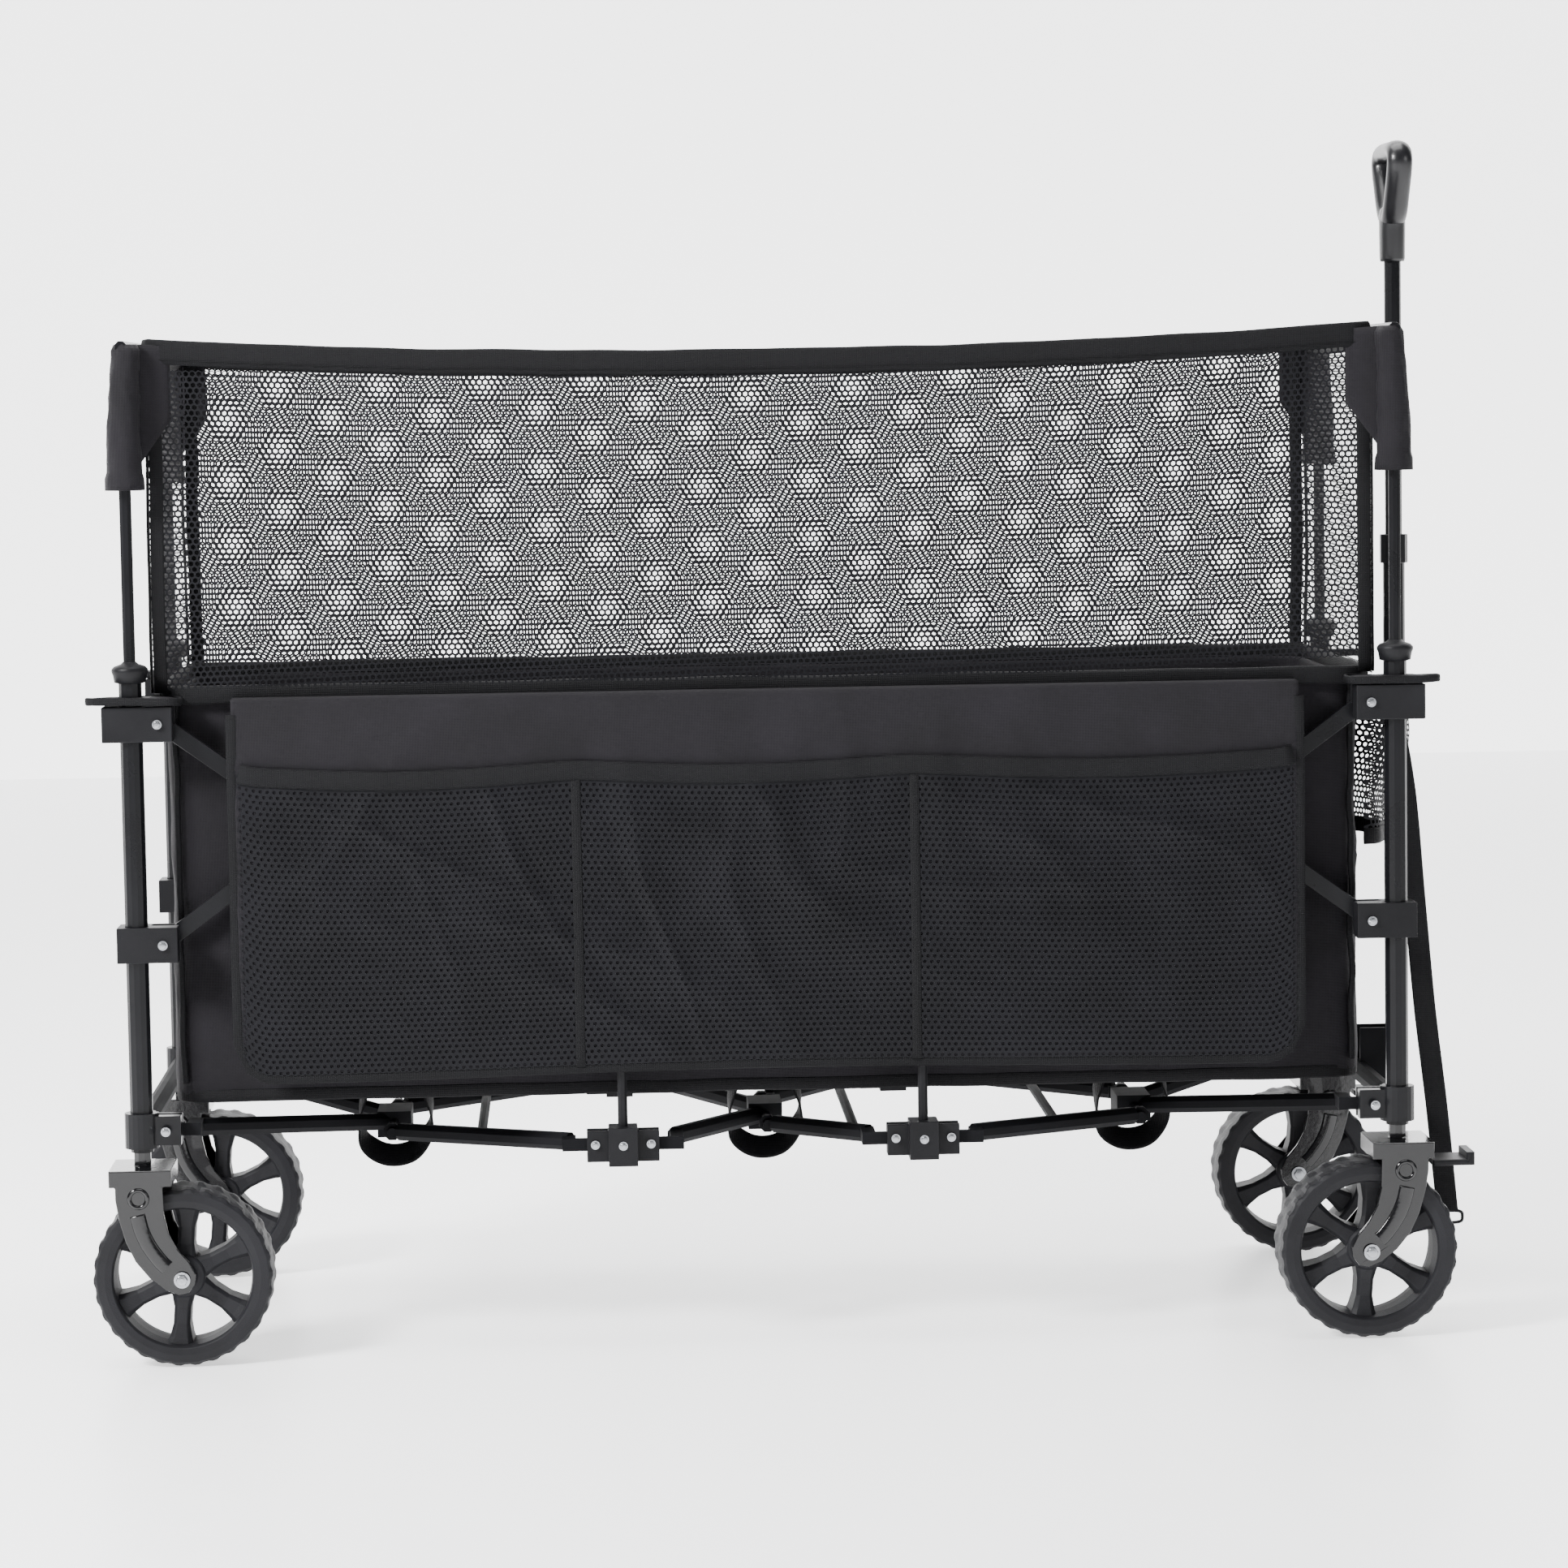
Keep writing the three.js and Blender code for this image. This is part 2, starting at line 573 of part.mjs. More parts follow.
// ---- fabric, as plain closed solids -------------------------------------------------------
function tub() {
  const outer = block([-tubHalfX, -tubHalfY, tubBottom], [tubHalfX, tubHalfY, tubTop]);
  const hollow = block([-tubHalfX + tubWall, -tubHalfY + tubWall, tubBottom + tubWall],
    [tubHalfX - tubWall, tubHalfY - tubWall, tubTop + 1]);
  const panels = [-1, 1].map((s) => join(
    sideBlock(s, -panelHalfX, panelHalfX, panelY, panelY + panelThick, panelBottom, tubTop),
    sideBlock(s, -panelHalfX, panelHalfX, tubHalfY - 1, panelY + 1, tubTop - panelStrip, tubTop),
  ));
  return join(outer.subtract(hollow), ...panels);
}

function pen() {
  const bottom = tubTop + 2;
  return block([-meshHalfX, -meshHalfY, bottom], [meshHalfX, meshHalfY, meshTop])
    .subtract(block([-meshHalfX + meshWall, -meshHalfY + meshWall, bottom - 1],
      [meshHalfX - meshWall, meshHalfY - meshWall, meshTop + 1]));
}

function floorMat() {
  const inset = tubWall + matGap;
  return block([-tubHalfX + inset, -tubHalfY + inset, tubBottom + tubWall + 1],
    [tubHalfX - inset, tubHalfY - inset, tubBottom + tubWall + 1 + matThick]);
}

add('tub', tub(), canvas);
add('pen_mesh', pen(), netting);
add('floor_mat', floorMat(), canvas);

export default wagon;
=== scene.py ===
# Looks for the pet stroller wagon: cloth, net, straps, castors and light round the CAD frame.
# Metres, +Z up, +X towards the handle end, the near long side at -Y.
import json
import math

import bmesh
import bpy
from mathutils import Euler, Vector, noise
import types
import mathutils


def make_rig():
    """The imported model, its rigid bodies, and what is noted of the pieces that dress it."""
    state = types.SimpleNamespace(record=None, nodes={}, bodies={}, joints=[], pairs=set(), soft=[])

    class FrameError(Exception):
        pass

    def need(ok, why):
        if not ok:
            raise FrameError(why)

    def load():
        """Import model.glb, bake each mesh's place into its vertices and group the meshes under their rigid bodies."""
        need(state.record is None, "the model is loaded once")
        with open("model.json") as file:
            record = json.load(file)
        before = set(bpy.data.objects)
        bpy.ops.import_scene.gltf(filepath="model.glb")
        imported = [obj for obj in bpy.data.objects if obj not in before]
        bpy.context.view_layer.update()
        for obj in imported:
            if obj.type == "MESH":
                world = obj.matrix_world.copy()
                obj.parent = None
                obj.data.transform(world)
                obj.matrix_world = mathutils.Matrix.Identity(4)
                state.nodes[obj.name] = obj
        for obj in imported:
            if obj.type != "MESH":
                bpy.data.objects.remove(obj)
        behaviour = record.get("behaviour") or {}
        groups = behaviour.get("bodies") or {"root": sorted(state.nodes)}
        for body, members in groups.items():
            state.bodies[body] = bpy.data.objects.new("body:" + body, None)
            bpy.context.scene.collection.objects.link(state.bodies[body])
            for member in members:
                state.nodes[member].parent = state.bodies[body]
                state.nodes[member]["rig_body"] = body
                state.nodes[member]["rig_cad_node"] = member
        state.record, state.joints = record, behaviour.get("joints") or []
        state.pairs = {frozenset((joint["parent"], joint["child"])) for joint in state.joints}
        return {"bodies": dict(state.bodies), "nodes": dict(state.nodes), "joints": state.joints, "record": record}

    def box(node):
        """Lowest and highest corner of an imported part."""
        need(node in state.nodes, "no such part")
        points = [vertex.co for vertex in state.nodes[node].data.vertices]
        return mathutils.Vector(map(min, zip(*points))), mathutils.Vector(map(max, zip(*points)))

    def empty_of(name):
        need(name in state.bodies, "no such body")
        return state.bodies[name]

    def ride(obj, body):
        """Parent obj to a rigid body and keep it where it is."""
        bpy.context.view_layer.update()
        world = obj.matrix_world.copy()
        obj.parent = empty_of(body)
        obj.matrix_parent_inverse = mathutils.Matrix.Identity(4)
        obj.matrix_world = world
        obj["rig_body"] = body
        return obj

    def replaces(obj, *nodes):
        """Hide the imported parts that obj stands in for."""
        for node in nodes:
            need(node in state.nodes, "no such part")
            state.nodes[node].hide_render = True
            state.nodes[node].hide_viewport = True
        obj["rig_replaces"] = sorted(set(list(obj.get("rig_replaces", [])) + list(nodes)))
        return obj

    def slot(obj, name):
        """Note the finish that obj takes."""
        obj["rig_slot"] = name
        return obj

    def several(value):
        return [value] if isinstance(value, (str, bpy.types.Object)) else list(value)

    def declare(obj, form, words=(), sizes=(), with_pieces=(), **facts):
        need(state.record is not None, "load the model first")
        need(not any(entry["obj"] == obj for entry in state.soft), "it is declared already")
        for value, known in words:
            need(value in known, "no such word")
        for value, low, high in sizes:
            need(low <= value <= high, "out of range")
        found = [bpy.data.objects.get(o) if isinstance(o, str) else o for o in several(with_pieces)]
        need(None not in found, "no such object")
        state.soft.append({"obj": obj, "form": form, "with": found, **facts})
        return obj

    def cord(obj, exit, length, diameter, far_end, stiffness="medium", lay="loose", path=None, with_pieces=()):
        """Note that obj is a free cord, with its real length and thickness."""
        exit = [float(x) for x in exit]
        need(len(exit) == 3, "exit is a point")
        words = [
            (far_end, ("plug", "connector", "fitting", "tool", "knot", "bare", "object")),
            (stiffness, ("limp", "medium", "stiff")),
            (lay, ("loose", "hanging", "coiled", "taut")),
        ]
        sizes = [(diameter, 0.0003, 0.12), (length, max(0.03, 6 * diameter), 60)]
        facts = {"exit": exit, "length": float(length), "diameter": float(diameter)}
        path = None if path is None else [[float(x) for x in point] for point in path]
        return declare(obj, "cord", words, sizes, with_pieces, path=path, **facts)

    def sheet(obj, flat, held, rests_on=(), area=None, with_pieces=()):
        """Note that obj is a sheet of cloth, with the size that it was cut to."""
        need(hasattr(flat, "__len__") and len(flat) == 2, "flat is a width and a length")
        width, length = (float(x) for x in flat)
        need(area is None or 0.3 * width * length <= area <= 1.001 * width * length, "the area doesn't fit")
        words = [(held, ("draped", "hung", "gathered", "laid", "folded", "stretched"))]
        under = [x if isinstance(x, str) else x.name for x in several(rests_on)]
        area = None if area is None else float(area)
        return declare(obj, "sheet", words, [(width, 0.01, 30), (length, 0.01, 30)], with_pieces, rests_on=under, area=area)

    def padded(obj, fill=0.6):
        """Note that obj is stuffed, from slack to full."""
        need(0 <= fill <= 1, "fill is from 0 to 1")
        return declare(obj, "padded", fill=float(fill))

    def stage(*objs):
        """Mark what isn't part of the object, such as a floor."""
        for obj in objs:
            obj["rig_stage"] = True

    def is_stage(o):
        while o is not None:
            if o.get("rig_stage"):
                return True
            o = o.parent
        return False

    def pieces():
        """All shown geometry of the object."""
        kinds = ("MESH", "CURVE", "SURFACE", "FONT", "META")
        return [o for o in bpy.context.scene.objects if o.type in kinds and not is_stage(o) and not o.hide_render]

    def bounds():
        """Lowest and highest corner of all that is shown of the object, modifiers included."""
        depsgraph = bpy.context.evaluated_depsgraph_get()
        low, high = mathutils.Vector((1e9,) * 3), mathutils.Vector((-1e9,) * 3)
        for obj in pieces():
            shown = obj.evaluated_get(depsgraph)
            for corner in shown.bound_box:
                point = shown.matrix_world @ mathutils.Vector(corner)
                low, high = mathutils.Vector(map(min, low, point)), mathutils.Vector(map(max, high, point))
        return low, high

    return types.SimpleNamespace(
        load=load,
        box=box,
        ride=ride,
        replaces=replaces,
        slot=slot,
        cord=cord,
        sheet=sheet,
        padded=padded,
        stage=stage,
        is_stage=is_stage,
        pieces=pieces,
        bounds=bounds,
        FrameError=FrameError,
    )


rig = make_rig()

# ---- sizes --------------------------------------------------------------------------------
CAMERA_PLACE = (-0.187, -4.70, 0.919)
CAMERA_YAW, CAMERA_PITCH, CAMERA_ROLL = -0.0427, -0.0824, -0.0156
CAMERA_LENS = 107.0
RIM_SAG = 0.018
NET_CELL, NET_RIBBON = 0.0062, 0.00096
POCKET_SEAMS = (-0.185, 0.140)
POCKET_MOUTH = 0.073  # below the panel's top
BINDING = 0.011
PANEL_HALF = 0.513  # half the pocket panel's length
PANEL_BOTTOM = 0.275
POST_X, POST_Y = 0.6085, 0.230  # post axes, from the wagon's middle
TRAIL = {"rear": 0.038, "front": 0.032}  # wheel axle to castor axis
WHEEL_SPOKES, TREAD_BLOCKS = 6, 30

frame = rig.load()
cad_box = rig.bounds()


# ---- materials ----------------------------------------------------------------------------
def material(name, colour, rough, grain, bump, metal=0.0, weave=0.0, sheen=0.0, coat=0.0,
             pale=1.6, spec=0.3, glow=0.0):
    """Colour drifts to a paler tone in blotches; grain is the fine bump's size in metres."""
    mat = bpy.data.materials.new(name)
    mat.use_nodes = True
    tree = mat.node_tree
    make, wire = tree.nodes.new, tree.links.new
    shader = tree.nodes["Principled BSDF"]
    where = make("ShaderNodeTexCoord")
    blotch = make("ShaderNodeTexNoise")
    blotch.inputs["Scale"].default_value = 14.0
    blotch.inputs["Detail"].default_value = 6.0
    tone = make("ShaderNodeValToRGB")
    tone.color_ramp.elements[0].position, tone.color_ramp.elements[1].position = 0.35, 0.72
    tone.color_ramp.elements[0].color = (*colour, 1)
    tone.color_ramp.elements[1].color = (*[min(1, c * pale) for c in colour], 1)
    fine = make("ShaderNodeTexNoise")
    fine.inputs["Scale"].default_value = 1 / grain
    fine.inputs["Detail"].default_value = 3.0
    dull = make("ShaderNodeMapRange")
    dull.inputs["To Min"].default_value = rough * 0.85
    dull.inputs["To Max"].default_value = min(1, rough * 1.15)
    height = fine.outputs["Fac"]
    wire(where.outputs["Object"], blotch.inputs["Vector"])
    wire(where.outputs["Object"], fine.inputs["Vector"])
    wire(blotch.outputs["Fac"], tone.inputs["Fac"])
    wire(tone.outputs["Color"], shader.inputs["Base Color"])
    wire(blotch.outputs["Fac"], dull.inputs["Value"])
    wire(dull.outputs["Result"], shader.inputs["Roughness"])
    if weave:
        for axis in ("X", "Z"):
            thread = make("ShaderNodeTexWave")
            thread.bands_direction = axis
            thread.inputs["Scale"].default_value = 0.314 / weave
            thread.inputs["Distortion"].default_value = 0.4
            wire(where.outputs["Object"], thread.inputs["Vector"])
            both = make("ShaderNodeMath")
            both.operation = "ADD"
            wire(height, both.inputs[0])
            wire(thread.outputs["Fac"], both.inputs[1])
            height = both.outputs["Value"]
    relief = make("ShaderNodeBump")
    relief.inputs["Strength"].default_value = bump
    relief.inputs["Distance"].default_value = grain if not weave else weave * 0.3
    wire(height, relief.inputs["Height"])
    wire(relief.outputs["Normal"], shader.inputs["Normal"])
    shader.inputs["Metallic"].default_value = metal
    shader.inputs["Sheen Weight"].default_value = sheen
    shader.inputs["Coat Weight"].default_value = coat
    shader.inputs["Specular IOR Level"].default_value = spec
    if glow:
        shader.inputs["Emission Color"].default_value = (1, 1, 1, 1)
        shader.inputs["Emission Strength"].default_value = glow
    return mat


STEEL = material("steel_black", (0.0045, 0.0046, 0.0055), 0.28, 0.0012, 0.10, coat=0.06, spec=0.16)
FLOOR_STEEL = material("floor_steel", (0.0045, 0.0046, 0.0055), 0.62, 0.0012, 0.10, spec=0.08)
PLASTIC = material("plastic_black", (0.0065, 0.0065, 0.0075), 0.42, 0.0008, 0.25, spec=0.15)
GLOSS = material("fork_black", (0.004, 0.004, 0.0045), 0.16, 0.004, 0.05, coat=0.3, spec=0.35)
TYRE = material("tyre_black", (0.008, 0.008, 0.0095), 0.55, 0.0012, 0.25, pale=1.8, spec=0.2)
GRIP = material("grip_black", (0.006, 0.006, 0.007), 0.32, 0.001, 0.12, coat=0.15, spec=0.35)
CANVAS = material("canvas_black", (0.0068, 0.0061, 0.0078), 0.66, 0.0009, 0.7, weave=0.0011,
                  sheen=0.02, spec=0.15, pale=1.7)
RIBBON = material("ribbon_black", (0.0035, 0.0035, 0.0042), 0.62, 0.0006, 0.6, weave=0.0014, spec=0.14)
NET = material("net_black", (0.0042, 0.0042, 0.0055), 0.6, 0.0008, 0.2, spec=0.14)
MAT = material("mat_black", (0.0065, 0.0062, 0.008), 0.85, 0.0009, 0.5, weave=0.0016, sheen=0.04, spec=0.12)
ZINC = material("zinc_bolt", (0.36, 0.37, 0.39), 0.30, 0.0009, 0.15, metal=1.0, pale=1.2, spec=0.5)


# ---- mesh helpers -------------------------------------------------------------------------
def piece(name, verts, faces, mat, slot, body="frame", smooth=True):
    mesh = bpy.data.meshes.new(name)
    mesh.from_pydata([tuple(v) for v in verts], [], faces)
    mesh.validate()
    mesh.polygons.foreach_set("use_smooth", [smooth] * len(mesh.polygons))
    mesh.materials.append(mat)
    obj = bpy.data.objects.new(name, mesh)
    bpy.context.collection.objects.link(obj)
    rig.slot(obj, slot)
    if body:
        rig.ride(obj, body)
    return obj


def grid_faces(rows, columns, closed=False):
    last = columns if closed else columns - 1
    return [(r * columns + c, r * columns + (c + 1) % columns,
             (r + 1) * columns + (c + 1) % columns, (r + 1) * columns + c)
            for r in range(rows - 1) for c in range(last)]


def thicken(obj, thickness):
    mod = obj.modifiers.new("thickness", "SOLIDIFY")
    mod.thickness, mod.offset = thickness, 0
    return obj


CREASES = ((1.3, 6.5, 0.42), (-1.0, 7.5, 0.36), (0.25, 9.0, 0.28), (2.6, 12.0, 0.16))  # slope, pitch, weight


def crease(x, z, seed):
    """Pinched diagonal folds that cluster, over soft drape and fine crumple, from about 0 to 1."""
    warp = 0.8 * noise.noise(Vector((x * 3.0, z * 4.0, seed)))
    total = 0.0
    for i, (slope, pitch, weight) in enumerate(CREASES):
        across = (x + slope * z) * pitch / math.hypot(1, slope)
        along = (z - slope * x) * 1.9 / math.hypot(1, slope)
        value = noise.noise(Vector((across + warp, along, seed + 5 * i)))
        where = 0.5 + 0.8 * noise.noise(Vector((x * 3.2 + i, z * 3.2, seed + 11)))
        total += weight * max(0.0, 1 - 4.2 * abs(value)) ** 1.3 * max(0.1, min(1.0, where))
    drape = 0.5 + 0.5 * noise.noise(Vector((x * 2.3, z * 3.1, seed + 3)))
    return 0.62 * total * 1.5 + 0.38 * drape + 0.05 * noise.noise(Vector((x * 34, z * 34, seed)))


def sweep(name, path, profile, mat, slot, body="frame", closed=False, up=(0, 0, 1), smooth=True):
    """The profile, as (side, up) pairs, carried along the path's points."""
    path = [Vector(p) for p in path]
    count, verts = len(path), []
    for i, here in enumerate(path):
        back = path[i - 1] if i or closed else here
        ahead = path[(i + 1) % count] if i < count - 1 or closed else here
        along = (ahead - back).normalized()
        side = along.cross(Vector(up)).normalized()
        top = side.cross(along)
        verts += [here + side * a + top * b for a, b in profile]
    n = len(profile)
    faces = grid_faces(count, n, closed=True)
    if closed:
        faces += [((count - 1) * n + c, (count - 1) * n + (c + 1) % n, (c + 1) % n, c) for c in range(n)]
    else:
        faces += [tuple(range(n))[::-1], tuple(range((count - 1) * n, count * n))]
    return piece(name, verts, faces, mat, slot, body, smooth)


def flat_profile(width, thick, n=10):
    """A ribbon's rounded section, width across and thick through."""
    return [(thick / 2 * math.copysign(abs(math.cos(t)) ** 0.7, math.cos(t)),
             width / 2 * math.copysign(abs(math.sin(t)) ** 0.5, math.sin(t)))
            for t in (2 * math.pi * k / n for k in range(n))]


def round_rect(hx, hy, radius, count):
    """Evenly spaced points round a rectangle with round corners, and each one's outward direction."""
    lx, ly, arc = 2 * (hx - radius), 2 * (hy - radius), math.pi * radius / 2
    total = 2 * (lx + ly) + 4 * arc
    corners = [(hx - radius, -hy + radius, -math.pi / 2), (hx - radius, hy - radius, 0),
               (-hx + radius, hy - radius, math.pi / 2), (-hx + radius, -hy + radius, math.pi)]
    points = []
    for k in range(count):
        s, side = total * k / count, 0
        lengths = [lx, ly, lx, ly]
        while s > lengths[side] + arc:
            s -= lengths[side] + arc
            side += 1
        cx, cy, start = corners[side]
        if s <= lengths[side]:
            out = Vector((math.cos(start), math.sin(start), 0))
            along = Vector((-out.y, out.x, 0))
            points.append((Vector((cx, cy, 0)) + out * radius + along * (s - lengths[side]), out))
        else:
            t = start + (s - lengths[side]) / radius
            out = Vector((math.cos(t), math.sin(t), 0))
            points.append((Vector((cx, cy, 0)) + out * radius, out))
    return points


# ---- tub ----------------------------------------------------------------------------------
tub_lo, tub_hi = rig.box("tub")
mat_lo, mat_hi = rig.box("floor_mat")
pen_lo, pen_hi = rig.box("pen_mesh")
MID_X = (pen_lo[0] + pen_hi[0]) / 2
PANEL_Y = tub_hi[1] - 0.0015
TUB_X = (tub_hi[0] - tub_lo[0]) / 2
TUB_Y = mat_hi[1] + 0.010
RIM_Z = tub_hi[2] - 0.012
FLOOR_Z = mat_lo[2] - 0.003


def tub():
    """A lofted open shell: rolled rim, walls that sag between the posts, round bottom corners."""
    levels = [0.0, 0.01, 0.03] + [t / 30 for t in range(1, 30)]
    verts, around = [], 300
    for t in levels:
        z = RIM_Z + (FLOOR_Z + 0.016 - RIM_Z) * t
        bulge = math.sin(math.pi * t)
        for p, out in round_rect(TUB_X - 0.004, TUB_Y, 0.030, around):
            fold = (crease(p.x + 3 * p.y, z, 2.0) * 0.011 - 0.0065) * bulge
            verts.append(Vector((MID_X, 0, z)) + p + out * fold)
    for shrink, z in ((0.001, 0.008), (0.004, 0.002), (0.012, 0.0), (0.06, 0.0), (0.11, 0.0), (0.17, 0.0)):
        corner = max(0.03 - shrink, 0.012)
        for p, out in round_rect(TUB_X - 0.004 - shrink, TUB_Y - shrink, corner, around):
            sag = -0.0012 * noise.noise(p * 9) if shrink > 0.03 else 0
            verts.append(Vector((MID_X, 0, FLOOR_Z + z + sag)) + p)
    rows = len(verts) // around
    faces = grid_faces(rows, around, closed=True) + [tuple(range((rows - 1) * around, rows * around))]
    shell = thicken(piece("tub_shell", verts, faces, CANVAS, "canvas"), 0.0022)
    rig.replaces(shell, "tub")
    depth, spread = RIM_Z - FLOOR_Z, 2 * (TUB_X + TUB_Y)
    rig.sheet(shell, (2 * (TUB_X + depth), 2 * (TUB_Y + depth)), "hung", rests_on=["top_bracket_rear_near"],
             area=2 * spread * depth + 4 * TUB_X * TUB_Y)


def panel_point(side, u, v, proud=0.0, seed=4.0, folds=0.0165):
    """A place on the outer pocket panel: u from 0 rear to 1 front, v from 0 top to 1 bottom."""
    half, corner = PANEL_HALF, 0.035
    x = -half + 2 * half * u
    bottom = PANEL_BOTTOM + 0.006 * math.sin(math.pi * u) ** 2
    near_edge = max(0.0, corner - (half - abs(x)))
    bottom += corner - math.sqrt(max(0.0, corner ** 2 - near_edge ** 2))
    z = RIM_Z + (bottom - RIM_Z) * v
    loose = math.sin(math.pi * min(1, max(0, v))) ** 0.6 * math.sin(math.pi * u) ** 0.35
    swell = folds * crease(x, z, seed + side) * loose
    return Vector((MID_X + x, side * (PANEL_Y + proud + swell), z))


def panel(side, name):
    columns, rows = 260, 96
    verts = [Vector((MID_X - PANEL_HALF + 2 * PANEL_HALF * c / (columns - 1),
                     side * (TUB_Y + 0.001), RIM_Z + 0.001)) for c in range(columns)]
    verts += [panel_point(side, c / (columns - 1), r / (rows - 1))
              for r in range(rows) for c in range(columns)]
    cloth = piece(f"pocket_panel_{name}", verts, grid_faces(rows + 1, columns), CANVAS, "canvas")
    thicken(cloth, 0.0016)
    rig.sheet(cloth, (1.03, 0.41), "hung", rests_on=["tub_shell"])
    edge = [(u, v) for u, v in
            [(0, k / 24) for k in range(1, 25)] + [(k / 90, 1) for k in range(1, 90)]
            + [(1, 1 - k / 24) for k in range(0, 24)]]
    ribbon = flat_profile(BINDING, 0.0034)
    sweep(f"panel_binding_{name}", [panel_point(side, u, v) for u, v in edge], turned(ribbon),
          RIBBON, "canvas", up=(0, side, 0))
    height = RIM_Z - PANEL_BOTTOM
    mouth = POCKET_MOUTH / height

    def mouth_v(u):
        x = -PANEL_HALF + 2 * PANEL_HALF * u
        stops = [-PANEL_HALF, *POCKET_SEAMS, PANEL_HALF]
        for a, b in zip(stops, stops[1:]):
            if a <= x <= b:
                return mouth + 0.018 * math.sin(math.pi * (x - a) / (b - a)) ** 1.2
        return mouth
    sweep(f"pocket_mouth_{name}", [panel_point(side, 0.006 + 0.988 * k / 120, mouth_v(k / 120), 0.0032)
                                   for k in range(121)],
          turned(flat_profile(0.019, 0.0036)), RIBBON, "canvas", up=(0, side, 0))
    for i, x in enumerate(POCKET_SEAMS):
        u = (x + PANEL_HALF) / (2 * PANEL_HALF)
        seam = [panel_point(side, u, mouth_v(u) + (0.995 - mouth_v(u)) * k / 40, 0.0016) for k in range(41)]
        sweep(f"pocket_seam_{name}_{i}", seam,
              turned(flat_profile(0.010, 0.0026)), RIBBON, "canvas", up=(0, side, 0))
    pocket = net(f"pocket_net_{name}", lambda u, v: panel_point(
        side, 0.004 + 0.992 * u, mouth_v(u) + (0.992 - mouth_v(u)) * v, 0.0022), 1.018, 0.30, 0.0065, 0.0016)
    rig.sheet(pocket, (1.018, 0.30), "stretched", rests_on=[cloth.name],
             area=1.018 * 0.30 * net_share(0.0065, 0.0016))


def net_share(cell, ribbon):
    """How much of a net's area is ribbon rather than hole."""
    return 1 - (1 - ribbon / (cell * 0.5)) ** 2


def turned(profile):
    return [(b, a) for a, b in profile]


def net(name, place, width, height, cell=NET_CELL, ribbon=NET_RIBBON, lean=0.0):
    """A lattice of flat ribbons round six-sided holes, over a surface place(u, v)."""
    dx, dz = cell, cell * math.sqrt(3) / 2
    columns, rows = int(width / dx), int(height / dz)
    inner = 1 - ribbon / (cell * 0.5)
    turns = [(math.sin(math.pi / 3 * k), math.cos(math.pi / 3 * k)) for k in range(6)]
    spots, faces, radius = [], [], cell / math.sqrt(3)
    for r in range(rows):
        for c in range(columns):
            cx, cz = (c + 0.5 + 0.5 * (r % 2)) * dx, (r + 0.5) * dz
            base = len(spots)
            for share in (1.0, inner):
                spots += [(cx + radius * share * a, cz + radius * share * b) for a, b in turns]
            faces += [(base + k, base + (k + 1) % 6, base + 6 + (k + 1) % 6, base + 6 + k) for k in range(6)]
    fit_u, fit_v = 1 / ((columns + 0.5) * dx), 1 / (rows * dz)
    verts = [place(min(1, max(0, (u + lean * (v - height / 2)) * fit_u)),
                   min(1, max(0, (v - lean * (u - width / 2)) * fit_v))) for u, v in spots]
    return piece(name, verts, faces, NET, "netting")


# ---- pen ----------------------------------------------------------------------------------
PEN_X, PEN_Y = (pen_hi[0] - pen_lo[0]) / 2, pen_hi[1] - 0.001
PEN_TOP, PEN_BOTTOM = pen_hi[2] - 0.010, RIM_Z + 0.003


def rim_z(x, y):
    """The rim's height: it sags between the corner sleeves."""
    u, w = (x - MID_X) / PEN_X, y / PEN_Y
    long_side = abs(w) >= abs(u)
    t = u if long_side else w
    return PEN_TOP - (RIM_SAG if long_side else 0.006) * (1 - abs(t) ** 2.2)


def wall_point(a, b, bow):
    """A point between two corners; u along, v from the rim down."""
    def place(u, v):
        x, y = a[0] + (b[0] - a[0]) * u, a[1] + (b[1] - a[1]) * u
        out = Vector((a[1] - b[1], b[0] - a[0], 0)).normalized()
        top = rim_z(x, y)
        z = top + (PEN_BOTTOM - top) * v
        belly = bow * math.sin(math.pi * u) * math.sin(math.pi * v)
        ripple = 0.0022 * noise.noise(Vector((x * 7, y * 7 + 3, z * 5))) * math.sin(math.pi * v)
        return Vector((x, y, z)) + out * (belly + ripple)
    return place


